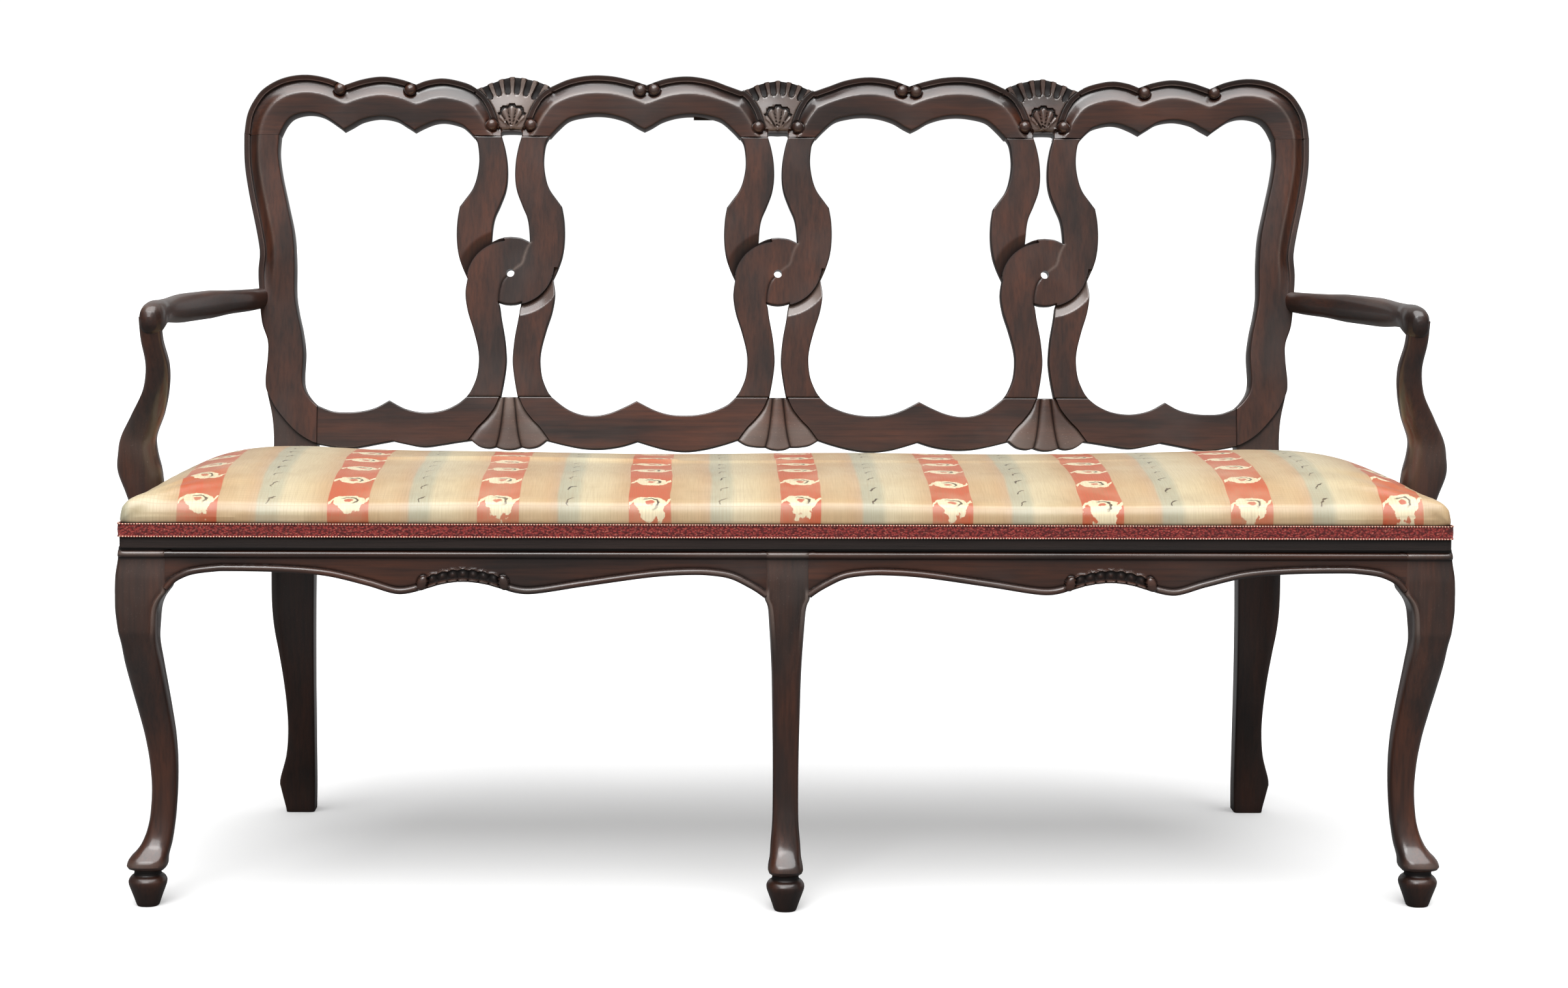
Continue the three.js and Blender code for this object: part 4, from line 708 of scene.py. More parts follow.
def shell_carving(across, up):
    """A fan of slots and ribs over a small palm leaf. across and up run from the fan's own centre."""
    reach, turn = np.hypot(across, up), np.degrees(np.arctan2(across, up))
    slot = (np.round(turn / SLOT_STEP - 0.5) + 0.5) * SLOT_STEP
    beside = reach * np.sin(np.radians(turn - slot))
    ahead = reach * np.cos(np.radians(turn - slot))
    half = 0.056 * np.clip(ahead, SLOT_START, 90)
    into = np.hypot(beside, np.clip(SLOT_START - ahead, 0, None))
    fan = np.abs(slot) < SLOT_EDGE
    depth = ramp(half - into, -0.5, 0.7) * fan
    height = 0.8 - 3.6 * ramp(reach, 30, 74) + 1.6 * ramp(reach, 72, 86) - 5.4 * depth
    # Painted shade in the slots, painted highlight over the rest of the fan.
    painted_shade_and_seams = 0.97 * ramp(half - into, -0.1, 1.0) * fan
    wear_and_highlight = 1.0 - depth
    leaf_up = up - 12
    leaf_reach = np.hypot(across, leaf_up)
    leaf_turn = np.degrees(np.arctan2(across, leaf_up))
    petal = np.abs(np.mod(leaf_turn + 11, 22) - 11) / 11
    leaf_end = 33.5 - 3.2 * petal**2 - 0.004 * leaf_turn**2
    over = leaf_reach - leaf_end
    arc = ramp(over, -0.3, 0.5) * (1 - ramp(over, 3.6, 4.4)) * (1 - ramp(np.abs(leaf_turn), 38, 42))
    on_leaf = (1 - ramp(over, -0.5, 0.3)) * (1 - ramp(np.abs(leaf_turn), 44, 50))
    vein = ramp(petal, 0.72, 0.95) * ramp(leaf_reach, 3, 9) * (1 - ramp(leaf_reach, 26, 31))
    height = height - 4.0 * arc + on_leaf * (2.0 * (1 - petal**2) - 2.2 * vein)
    # Painted shade in the leaf's arc and veins and along the fan's foot.
    painted_shade_and_seams = np.maximum(painted_shade_and_seams, np.maximum(0.98 * arc, 0.8 * on_leaf * vein))
    base = line(up - 12.5, 1.3)
    return height - 3.0 * base, np.maximum(painted_shade_and_seams, 0.9 * base), wear_and_highlight


def crest_surface(points):
    """Height, painted shade, and rubbing with painted highlight of the crest's face: moulding, shells, the
    curve under them and buttons.
    """
    u, v = points.T
    near_rim = nearest(points, rims)
    near_opening = nearest(points, soffits)
    keep = ramp(v, SHELL_CENTRE, SHELL_CENTRE + 15)
    for centre in CHAIR_JOINTS:
        keep = np.where(np.abs(u - centre) > SHELL_WIDE, 1, keep)
    height, painted_shade_and_seams, wear_and_highlight = moulded(near_rim, near_opening, keep)
    # Painted shade along the outer edges.
    painted_shade_and_seams = np.maximum(painted_shade_and_seams, 0.8 * line(near_rim, 1.7))
    for centre in CHAIR_JOINTS:
        half = np.interp(v, *SHELL_HALF.T)
        aside = np.abs(u - centre)
        within = (aside < half) & (v > SHELL_FOOT)
        carved = shell_carving(u[within] - centre, v[within] - SHELL_CENTRE)
        height[within], painted_shade_and_seams[within], wear_and_highlight[within] = carved
        # Painted shade round each shell, and in the notch under it.
        step = line(half[within] - aside[within], 1.2)
        painted_shade_and_seams[within] = np.maximum(painted_shade_and_seams[within], 0.75 * step)
        height[within] -= 1.6 * step
        under = (aside < NOTCH + 1) & (v <= SHELL_FOOT)
        height[under] = -1.5
        painted_shade_and_seams[under] = 0.8
        height -= 5.0 * ramp(v, 459, 475) * (1 - keep) * (aside >= NOTCH + 1) * (aside < SHELL_WIDE)
    for across, up in BUTTONS:
        for side in (-1, 1):
            reach = np.hypot(u - side * across, v - up)
            dome = 0.4 + 6.4 * bulge(reach, BUTTON)
            on = reach < BUTTON
            height[on] = np.maximum(height[on], dome[on])
            ditch = line(reach - BUTTON - 0.5, 0.9)
            height -= 1.5 * ditch * (height > -3)
            # Painted shade in the ditch round each button, rubbing with painted highlight toward its
            # middle.
            painted_shade_and_seams = np.where(on, 0.08, np.maximum(painted_shade_and_seams, 0.8 * ditch))
            wear_and_highlight = np.where(on, 0.5 * ramp(-reach, -6, 0), wear_and_highlight)
    height -= rounded_edge(near_opening, 1.6)
    # Painted shade along the openings.
    painted_shade_and_seams = np.maximum(painted_shade_and_seams, 0.75 * line(near_opening, 0.9))
    return height, painted_shade_and_seams, wear_and_highlight


def crest_outline():
    """The right half of the crest's outline, round from the middle of its top to that of its foot."""
    sky = [sized(run, PAIR, BACK) for run in SKYLINE]
    arches = [sized(run, PAIR, BACK) for run in SOFFIT]
    notch_side = np.array([(NOTCH, JOINT), (NOTCH_NARROW, NOTCH_TOP)])
    notch = np.vstack([notch_side, notch_side[::-1] * (-1, 1)])
    half_notch = np.vstack([notch_side, [(0, NOTCH_TOP)]])
    return [*sky, np.array([sky[-1][-1], arches[0][0]]), *arches[:3],
            np.array([arches[2][-1], (PAIR + NOTCH, JOINT)]), notch + (PAIR, 0),
            np.array([(PAIR - NOTCH, JOINT), arches[3][0]]), *arches[3:],
            np.array([arches[4][-1], (NOTCH, JOINT)]), half_notch]


crest_right = crest_outline()
rims = crest_rims()
right_soffits = [smooth_run(sized(run, PAIR, BACK)) for run in SOFFIT]
soffits = right_soffits + [path[::-1] * (-1, 1) for path in right_soffits]
slots = []
for centre in CHAIR_JOINTS:
    for turn in np.radians(np.arange(-3.5 * SLOT_STEP, SLOT_EDGE, SLOT_STEP)):
        reach = np.linspace(62, 83, 14)[:, None]
        slots.append(np.array([centre, SHELL_CENTRE]) + reach * (math.sin(turn), math.cos(turn)))
crest_loop = loop_of(crest_right + other_side(crest_right), 1.5)
crest_rows = [(path, (0, *RIM_ROWS)) for path in rims]
turn = np.linspace(0, 2 * np.pi, 33)
for across, up in BUTTONS:
    for side in (-1, 1):
        ring = np.stack([side * across + BUTTON * np.sin(turn), up + BUTTON * np.cos(turn)], -1)
        crest_rows.append((ring, (0, 0.5, 1.1, 2.2, 3.6, -0.5, -1.1, -2.2, -3.6)))
crest_rows += [(path, (0, 2.4, 3.2, 3.9, 4.8, -2.4, -3.2, -3.9, -4.8)) for path in slots]
carved_board("carved_crest", crest_loop, crest_rows, crest_surface,
             flat_back(-30.0), on_back, ["crest_rail"], cell=1.9)

# Stiles and rear legs

STILE_STEP = 27.5
GAP = 0.3  # left open in a glued joint
stile_rim = smooth_run(sized(STILE_OUTER, STILE, BACK))
stile_opening = smooth_run(sized(STILE_INNER, STILE, BACK))
face_edge = smooth_run(sized(FACE_EDGE, STILE, BACK))


def stile_surface(points):
    """Height, painted shade, and rubbing with painted highlight of a stile: moulded down to a curved edge,
    and set back below it.
    """
    mirrored = np.stack([np.abs(points[:, 0]), points[:, 1]], -1)
    v = mirrored[:, 1]
    near_rim = distance(mirrored, stile_rim)
    near_opening = distance(mirrored, stile_opening)
    keep = ramp(v, 232, 300)
    height, painted_shade_and_seams, wear_and_highlight = moulded(near_rim, near_opening, keep)
    edge = smooth_run(np.vstack([face_edge, [(600, 37)]]))
    order = np.argsort(edge[:, 1])
    border = np.interp(v, edge[order, 1], edge[order, 0])
    lower = (mirrored[:, 0] > border) & (v < 134) | (v < 38)
    near_face = distance(mirrored, edge)
    height = np.where(lower, -6, height)
    # Painted shade over the set-back part and along its step.
    painted_shade_and_seams = np.where(lower, 0.25 + 0.6 * line(near_face, 2.5), painted_shade_and_seams)
    wear_and_highlight = np.where(lower, 0.3, wear_and_highlight)
    painted_shade_and_seams = np.maximum(painted_shade_and_seams, 0.8 * line(near_face, 0.7))
    away = np.minimum(near_rim, near_opening)
    height -= rounded_edge(away, 1.8) * (1 - keep)
    height -= rounded_edge(near_opening, 1.6) * keep
    # Painted shade along the edges.
    painted_shade_and_seams = np.maximum(painted_shade_and_seams, 0.7 * line(away, 0.9))
    return height, painted_shade_and_seams, wear_and_highlight


def stile_behind(points):
    return -38 + 8 * np.clip(points[:, 1] / JOINT, 0, 1)


def stile(side, title):
    outer, inner = sized(STILE_OUTER, STILE, BACK), sized(STILE_INNER, STILE, BACK)
    low = outer[-1, 1]
    step = [(REAR_INNER, low), (REAR_INNER, STILE_STEP), (inner[0, 0], STILE_STEP), inner[0]]
    top = [(inner[-1, 0], JOINT - GAP), (STILE, JOINT - GAP)]
    loop = loop_of([outer, np.array([outer[-1], step[0]]), np.array(step), inner, np.array(top)])
    rows = [(stile_rim, RIM_ROWS), (face_edge, (-0.25, 0.25, 1.2, -1.2))]
    if side < 0:
        loop = loop[::-1] * (-1, 1)
        rows = [(path * (-1, 1), offsets) for path, offsets in rows]
    return carved_board(f"carved_stile_{title}", loop, rows, stile_surface, stile_behind, on_back,
                        [f"back_post_{title}"], cell=2.2, grain="z")


LEG_OUTER = [(0.9215, 0), (0.9225, 0.012), (0.931, 0.070), (0.933, 0.102), (0.920, 0.182),
             (0.9155, 0.264), (0.917, 0.344), (0.922, 0.427), (0.929, 0.507), (0.937, 0.587),
             (0.9405, 0.668), (0.9403, 0.80), (0.9395, 1)]
LEG_INNER = [(0.8685, 0), (0.8665, 0.10), (0.8650, 0.264), (0.8640, 0.427), (0.8625, 0.60),
             (0.8603, 0.78), (0.8603, 1)]
LEG_SWEEP, LEG_DEEP = 32, 36
LEG_SIDE = [(0, 1, 1), (0.08, 0.97, 0.92), (0.20, 0.74, 0.90), (0.42, 0.36, 0.97), (0.60, 0.13, 1.04),
            (0.80, 0, 1.08), (1, 0, 1.08)]


def rear_leg(side, title):
    """The sawn leg under the stile: a rounded square that follows its two outlines."""
    outer, inner = [smooth_run(sized(run, STILE, RAIL_TOP), 3) for run in (LEG_OUTER, LEG_INNER)]
    seen = smooth_run([(a * RAIL_TOP, b * LEG_SWEEP) for a, b, _ in LEG_SIDE], 3)
    thick = smooth_run([(a * RAIL_TOP, c * LEG_DEEP) for a, _, c in LEG_SIDE], 3)
    shape = oval(5, 44)
    places, halves = [], []
    top = RAIL_TOP + 32
    for z in [0, 0.6, 2, *np.linspace(6, RAIL_TOP, 80), RAIL_TOP + 12, RAIL_TOP + 24, top, top + 11.5]:
        level = min(z, RAIL_TOP)
        low_x = np.interp(level, inner[:, 1], inner[:, 0])
        high_x = np.interp(level, outer[:, 1], outer[:, 0])
        near_y = POST_FRONT + np.interp(level, *seen.T)
        far_y = near_y + np.interp(level, *thick.T)
        if z > RAIL_TOP:
            lean = np.clip((z - RAIL_TOP) / 30, 0, 1)
            near_y = POST_FRONT + 3 * lean + max(z - BACK_FOOT, 0) * math.tan(RAKE) + 6.3 * lean
            far_y = POST_FRONT + 38.9 + (z - RAIL_TOP) * 0.19
        trim = 1.2 if z < 0.5 else 0
        places.append((side * (low_x + high_x) / 2, (near_y + far_y) / 2, z))
        halves.append(((high_x - low_x) / 2 - trim, (far_y - near_y) / 2 - trim))
    bm = drawn_ring(level_rings(places, halves, shape))
    leg = finished(f"rear_leg_{title}", bm, walnut, "frame", grain="z")
    # Darker all over and most at the foot, with an even touch of pale grey.
    shade_piece(leg, lambda p: 0.2 + 0.5 * np.exp(-p[:, 2] / 12), lambda p: np.full(len(p), 0.15))
    return leg


for side, title in SIDES:
    stile(side, title)
    rear_leg(side, title)

# Splats: two strands that cross in a curl

CURL = SPLAT * 0.758  # radius of the facets where one strand passes the other
CURL_MIDDLE = 275
FACET = 15  # width of such a facet
OVER_LINE = smooth_run([(5, 279.5), (10, 283.5), (16.5, 289), (20, 301), (24, 311), (28.4, 317.5)])
UNDER_LINE = smooth_run([(-4.6, 270.5), (-10.7, 263), (-14.5, 250), (-15.6, 240), (-15.6, 233)])


def splat_surface(points, edge):
    """Height, painted shade, and rubbing with painted highlight of a splat's face, with a facet where each
    strand dives under the other.
    """
    u, v = points.T
    near_edge = distance(points, edge)
    height = -rounded_edge(near_edge, 1.5)
    # Painted shade along the edges, fading out at the joint with the crest.
    painted_shade_and_seams = 0.85 * line(near_edge, 1.3) * ramp(JOINT - v, 1, 6)
    wear_and_highlight = np.zeros(len(points))
    # One strand's facet gets a painted shadow, the other's a painted highlight, with painted shade along
    # each curl's edge.
    for side, tone in ((1, 0.0), (-1, 1.0)):
        du, dv = u - side * 4, v - (CURL_MIDDLE + side * 12)
        past = np.hypot(du, dv) - CURL
        ahead = (du * side - dv * side) > 1.08 * np.hypot(du, dv)
        on = (past > 0) & (past < FACET) & ahead
        height[on] -= 6.5 * (1 - past[on] / FACET)
        painted_shade_and_seams[on] = np.maximum(painted_shade_and_seams[on], tone * 0.9 * (1 - past[on] / 17))
        edge_painted_shade = 0.95 * line(past, 1.1) * ahead
        painted_shade_and_seams = np.maximum(painted_shade_and_seams, edge_painted_shade * (past > -1.5))
        wear_and_highlight = np.maximum(wear_and_highlight, (1 - tone) * 0.75 * on)
    # The joint between the two strands: a dark seam below the hole and a pale one above it, and a pale line
    # at the foot joint.
    near_under = distance(points, UNDER_LINE)
    near_over = distance(points, OVER_LINE)
    height -= 0.9 * line(near_under, 0.8)
    painted_shade_and_seams = np.maximum(painted_shade_and_seams, 0.9 * line(near_under, 1.1))
    wear_and_highlight = np.maximum(wear_and_highlight, 0.7 * line(near_over, 2.0))
    wear_and_highlight = np.maximum(wear_and_highlight, 0.5 * line(v - FOOT_JOINT, 0.8))
    return height, painted_shade_and_seams, wear_and_highlight


def splat(centre, title):
    outer = [sized(run, SPLAT, BACK) for run in STRAND_OUTER]
    upper = [sized(run, SPLAT, BACK) for run in UPPER_GAP]
    lower = [sized(run, SPLAT, BACK) for run in LOWER_GAP]
    outer[0][0, 1] = upper[0][0, 1] = JOINT - GAP
    outer[2][-1, 1] = lower[0][0, 1] = FOOT_JOINT + GAP
    right = [*outer, np.array([outer[2][-1], lower[0][0]]), *lower]
    top = [*[run[::-1] for run in upper[::-1]], np.array([upper[0][0], outer[0][0]])]
    loop = loop_of(right + other_side(right) + other_side(top) + top, 1.5)
    turn = np.linspace(0, 2 * np.pi, 33)[:-1]
    hole = np.stack([5.5 * np.cos(turn), BACK * 0.499 + 5.5 * np.sin(turn)], -1)
    ring = np.vstack([loop, loop[:1]])
    arcs = []
    for side in (1, -1):
        swing = np.radians(-45 if side > 0 else 135) + np.linspace(-0.9, 0.9, 70)
        centre_up = CURL_MIDDLE + side * 12
        arcs.append(np.stack([side * 4 + CURL * np.cos(swing), centre_up + CURL * np.sin(swing)], -1))
    rows = [(arc, (-0.2, 0.2, 1.0, -1.0)) for arc in arcs]
    rows += [(UNDER_LINE, (0, 0.5, -0.5, 1.1, -1.1)), (OVER_LINE, (0, 1, -1))]

    def place(u, v, w):
        return on_back(u + centre, v, w)

    return carved_board(f"carved_splat_{title}", loop, rows, lambda p: splat_surface(p, ring),
                        flat_back(-20.0), place, [f"splat_{title}"], [hole], 2.2, "z")


for centre, title in zip(CHAIR_JOINTS, ("left", "center", "right")):
    splat(centre, title)

# Lower rail with its three small fans

FAN_TOP = 104.5
FAN_SIDE = smooth_run([(13.5, FAN_TOP), (21, 88), (32.5, 73), (43, 62), (55.3, 45.2)])
FAN_GROOVE = [(7, 103), (9.3, 80), (11, 65), (13.8, 48), (17, 35.8)]
FAN_GROOVES = [smooth_run([(side * a, b) for a, b in FAN_GROOVE]) for side in (-1, 1)]


def rail_surface(points, edge):
    """Height, painted shade, and rubbing with painted highlight of the lower rail's face, with a fan under
    each splat.
    """
    u, v = points.T
    near_edge = distance(points, edge)
    height = np.zeros(len(points))
    painted_shade_and_seams = np.zeros(len(points))
    # A pale line along the joint with the splats.
    wear_and_highlight = 0.9 * line(v - FOOT_JOINT, 0.8)
    for centre in CHAIR_JOINTS:
        across = u - centre
        half = np.interp(v, FAN_SIDE[::-1, 1], FAN_SIDE[::-1, 0])
        fan = (np.abs(across) < half) & (v < FAN_TOP)
        shifted = points[fan] - (centre, 0)
        near_groove = nearest(shifted, FAN_GROOVES)
        near_side = np.minimum(distance(shifted, FAN_SIDE), distance(shifted, FAN_SIDE * (-1, 1)))
        drop = (104 - v[fan]) / 68
        lobe = np.minimum(near_groove, near_side)
        height[fan] = -6.5 + 3.4 * drop + 2.2 * (1 - np.exp(-lobe / 5)) - 1.6 * line(near_groove, 1.1)
        # Painted shade in each fan's grooves and along its sides, painted highlight over the fan.
        painted_shade_and_seams[fan] = np.maximum(0.85 * line(near_groove, 1.5), 0.95 * line(near_side, 1.6))
        wear_and_highlight[fan] = 0.8
    height -= rounded_edge(near_edge, 1.5)
    # Painted shade along the edges.
    painted_shade_and_seams = np.maximum(painted_shade_and_seams, 0.85 * line(near_edge, 1.1))
    return height, painted_shade_and_seams, wear_and_highlight


def lower_rail():
    right = [sized(run, PAIR, BACK) for run in RAIL_UPPER]
    right.insert(2, np.array([right[1][-1], right[2][0]]))
    lower = [sized(run, PAIR, BACK) for run in RAIL_LOWER]
    right += [np.array([right[-1][-1], lower[0][0]]), *lower]
    first = right[0][0]
    loop = loop_of([*right, *other_side(right), np.array([first * (-1, 1), first])], 1.5)
    ring = np.vstack([loop, loop[:1]])
    rows = []
    for centre in CHAIR_JOINTS:
        for side in (-1, 1):
            rows.append((FAN_SIDE * (side, 1) + (centre, 0), (-0.2, 0.2, 1, -1, 2, -2)))
        rows += [(path + (centre, 0), (0, 0.7, -0.7, 1.5, -1.5)) for path in FAN_GROOVES]
    return carved_board("carved_lower_rail", loop, rows, lambda p: rail_surface(p, ring),
                        flat_back(-24.0), on_back, ["lower_back_rail"], cell=2.1)


lower_rail()

# Front legs

# Up the leg as shares of RAIL_TOP, inward as shares of LEG_INWARD and half width as shares of LEG_HALF
LEG_INWARD = 44
LEG_HALF = 27
LEG_UP = [(0.100, 0.630, 0.66), (0.1145, 0.578, 0.905), (0.129, 0.605, 0.87), (0.146, 0.700, 0.765),
          (0.168, 0.805, 0.675), (0.204, 0.902, 0.60), (0.245, 0.965, 0.572), (0.315, 1.010, 0.574),
          (0.387, 0.998, 0.619), (0.460, 0.932, 0.678), (0.533, 0.818, 0.737), (0.605, 0.700, 0.793),
          (0.677, 0.590, 0.832), (0.733, 0.522, 0.818), (0.773, 0.492, 0.877), (0.824, 0.480, 0.950),
          (0.849, 0.514, 1.018), (0.873, 0.594, 1.150), (0.886, 0.627, 1.204), (0.922, 0.635, 1.187),
          (0.964, 0.666, 1.137), (0.999, 0.684, 1.107)]
TOE_TALL, TOE_HALF = 40, 22
TOE = [(0, 0.57), (0.015, 0.61), (0.04, 0.635), (0.30, 0.80), (0.58, 0.985), (0.68, 1.045), (0.78, 1.06),
       (0.84, 1.02), (0.91, 0.93), (0.98, 0.77), (1.05, 0.74), (1.12, 0.74), (1.3, 0.74)]


def toe(x, y):
    """The turned toe under a hoof."""
    places, halves = [], []
    for up, wide in drawn_out(TOE, 70):
        places.append((x, y, TOE_TALL * up))
        halves.append((TOE_HALF * wide, TOE_HALF * wide))
    return drawn_ring(level_rings(places, halves, oval(1.15, 40)))


def joined(first, *others):
    """Several closed bmesh bodies kept as one piece."""
    for other in others:
        mesh = bpy.data.meshes.new("part")
        other.to_mesh(mesh)
        other.free()
        first.from_mesh(mesh)
        bpy.data.meshes.remove(mesh)
    return first


def top_moulding(ceiling):
    """How far the roll along the top of the aprons stands out, and the hollow under it."""
    roll = bulge(ceiling - 8, 4.4)
    return np.where(ceiling < 8, -2.2 + 4.6 * roll, -2.6 * (1 - ramp(ceiling, 12.4, 42)) + 5.0 * roll)


def level_stations(rows):
    """A leg's rows drawn out, close together where the moulding crosses its head."""
    drawn = drawn_out(rows, 400)
    levels = np.concatenate([np.linspace(0.1, 0.942, 118), np.linspace(0.944, 0.999, 36)])
    return levels, *[np.interp(levels, drawn[:, 0], values) for values in drawn.T[1:]]


def leg_body(places, halves, beaded):
    """A leg: round at the ankle, square at the head, with a bead down each front corner under an apron."""
    rings, rubbed_and_highlit = [], []
    for (x, y, z), (across, deep) in zip(places, halves):
        shape = oval(1.6 + 2.6 * ramp(z, 290, 400), 96)
        ring = np.zeros((len(shape), 3))
        ring[:, 0] = shape[:, 0] * across
        ring[:, 1] = shape[:, 1] * deep
        marks = np.zeros(len(shape))
        strength = ramp(z, 285, 365) * (1 - ramp(z, 394, 402))
        for corner in beaded:
            inset = across - corner * ring[:, 0]
            bead = bulge(inset - 3.6, 3.6) * (shape[:, 1] < -0.55)
            ring[:, 1] -= strength * (2.2 * bead - 1.1 * line(inset - 8.6, 1.6) * (shape[:, 1] < -0.8))
            # Painted highlight along the bead.
            marks = np.maximum(marks, 0.9 * strength * bead)
        ring[:, 1] -= top_moulding(RAIL_TOP - z) * ramp(-shape[:, 1], 0.3, 0.7)
        rings.append(at_home(ring + (x, y, z)))
        rubbed_and_highlit.append(marks)
    return drawn_ring(rings, rubbed_and_highlit)


def leg_marks(leg):
    """Painted shade in the groove at the ankle and under the seat and the moulding, darker toward the toe;
    rubbing with painted highlight on the hoof, the knee and the roll.
    """

    def painted_shade_and_seams(p):
        front = ramp(-p[:, 1], -16, -6)
        hollows = 0.85 * ramp(p[:, 2], 445, 447) + 0.6 * line(p[:, 2] - 437, 1.2)
        return (0.9 * line(p[:, 2] - 42, 3.0) + 0.4 * (1 - ramp(p[:, 2], 36, 80))
                + 0.25 * ramp(-p[:, 2], -36, -8) + front * hollows)

    def wear_and_highlight(p):
        return (0.8 * line(p[:, 2] - 54, 5) + 0.22 * ramp(p[:, 2], 230, 330)
                + 0.5 * line(p[:, 2] - 443, 2.0))

    shade_piece(leg, painted_shade_and_seams, wear_and_highlight)


def corner_leg(side, title):
    places, halves = [], []
    for up, inward, thick in zip(*level_stations(LEG_UP)):
        inset = LEG_INWARD * inward
        settled = 1 - ramp(np.array(up), 0.5, 0.85)
        deep = min(LEG_HALF * thick, 29.9)
        places.append((side * (KNEE - inset), max(inset + 13 * settled, deep + 0.2), RAIL_TOP * up))
        halves.append((LEG_HALF * thick, deep))
    toe_inset = LEG_INWARD * 0.580
    bm = joined(leg_body(places, halves, (-side,)), toe(side * (KNEE - toe_inset), toe_inset + 13))
    leg = finished(f"cabriole_leg_{title}", bm, walnut, "frame", [f"front_leg_{title}"], "z")
    leg_marks(leg)


# The middle leg: how far up, how far back and half its depth, and then how far up and half its width
CENTRE_BACK = 22
CENTRE_HALF = 26
CENTRE_DEEP = [(0.100, 0.76, 0.72), (0.1145, 0.72, 0.93), (0.129, 0.80, 0.92), (0.146, 0.98, 0.82),
               (0.180, 1.22, 0.68), (0.240, 1.48, 0.62), (0.315, 1.62, 0.60), (0.420, 1.60, 0.63),
               (0.540, 1.48, 0.69), (0.650, 1.32, 0.76), (0.760, 1.20, 0.88), (0.880, 1.25, 1.05),
               (0.940, 1.272, 1.074), (0.999, 1.272, 1.074)]
CENTRE_WIDE = [(0.100, 0.62), (0.1145, 0.83), (0.129, 0.80), (0.146, 0.74), (0.180, 0.70), (0.240, 0.62),
               (0.315, 0.605), (0.420, 0.615), (0.540, 0.655), (0.650, 0.70), (0.733, 0.77),
               (0.775, 0.815), (0.818, 0.865), (0.838, 0.915), (0.852, 0.985), (0.866, 1.072),
               (0.900, 1.075), (0.999, 1.075)]


def centre_leg():
    wide = level_stations(CENTRE_WIDE)[1]
    places, halves = [], []
    for up, back, deep, across in zip(*level_stations(CENTRE_DEEP), wide):
        places.append((0, CENTRE_BACK * back, RAIL_TOP * up))
        halves.append((CENTRE_HALF * across, CENTRE_HALF * deep))
    bm = joined(leg_body(places, halves, (-1, 1)), toe(0, CENTRE_BACK * 0.74))
    leg = finished("cabriole_leg_center", bm, walnut, "frame", ["front_leg_center"], "z")
    leg_marks(leg)


for side, title in SIDES:
    corner_leg(side, title)
centre_leg()

# Front aprons

APRON_START = 60 - KNEE + 0.3
APRON_END = -28.3
APRON_EDGE = [
    [(0, 0.93), (0.010, 0.78), (0.0226, 0.675), (0.043, 0.58), (0.075, 0.525), (0.104, 0.51), (0.19, 0.53),
     (0.265, 0.61), (0.332, 0.81), (0.385, 0.995), (0.428, 0.90)],
    [(0.428, 0.90), (0.46, 0.78), (0.494, 0.73), (0.53, 0.78), (0.563, 0.90)],
    [(0.563, 0.90), (0.607, 0.99), (0.70, 0.82), (0.81, 0.625), (0.880, 0.572), (0.921, 0.600),
     (0.947, 0.672), (0.973, 0.835), (0.988, 0.948), (1, 1.06)],
]
LOBE = 12.5
LOBES = 7
BAND = 16.5
STUD = 6.2
APRON_DEEP = 57
BEAD_ROWS = (0.5, 1.3, 2.3, 3.3, 4.4, 5.5, 6.5, 7.2, 7.8, 8.6, 9.8)


def scallops(height, painted_shade_and_seams, wear_and_highlight, along, near_edge):
    """A row of carved lobes over an apron's hump, each over a short dash, with a stud at each end."""
    half = LOBE * LOBES / 2
    place = along / LOBE
    lobe = np.abs(place - np.round(place))
    top = BAND - 1.6 * (along / half)**2 - 9.0 * lobe**2
    on = (np.abs(along) < half) & (near_edge < top + 2.2)
    rim = line(near_edge - top, 0.9)
    cell = ramp(top - near_edge, 0.6, 1.8) * ramp(near_edge, 3.6, 4.8)
    swell = np.exp(-(((near_edge - 9) / 3.4)**2 + (lobe / 0.2)**2))
    split = line(lobe - 0.5, 0.09) * (near_edge < top)
    dash = np.exp(-((near_edge - 2.2) / 1.1)**4) * (1 - split)
    carved = -1.0 + 1.9 * rim - 2.4 * cell + 1.7 * swell * cell - 1.4 * split + 1.8 * dash
    height = np.where(on, carved, height)
    # Painted shade in the cells and splits and below the band, painted highlight on the lobes' rims and on
    # the dashes.
    shade = np.maximum(0.95 * cell * (1 - 0.7 * swell), 0.9 * split)
    painted_shade_and_seams = np.where(on, np.maximum(shade, 0.8 * ramp(near_edge - top, 0.6, 2.0)) * (1 - 0.8 * rim), painted_shade_and_seams)
    wear_and_highlight = np.where(on, np.maximum(rim, 0.9 * dash), wear_and_highlight)
    for end in (-1, 1):
        reach = np.hypot(along - end * (half + 5.5), (near_edge - 8) * 0.75)
        stud = reach < STUD
        ditch = line(reach - 7, 1.0)
        height = np.where(stud, 0.2 + 3.4 * bulge(reach, STUD), height - 1.2 * line(reach - 7, 0.9))
        # Painted shade in the ditch round each stud.
        painted_shade_and_seams = np.where(stud, 0.1, np.maximum(painted_shade_and_seams, 0.85 * ditch))
        wear_and_highlight = np.where(stud, 0.25, wear_and_highlight * (1 - ditch))
    return height, painted_shade_and_seams, wear_and_highlight


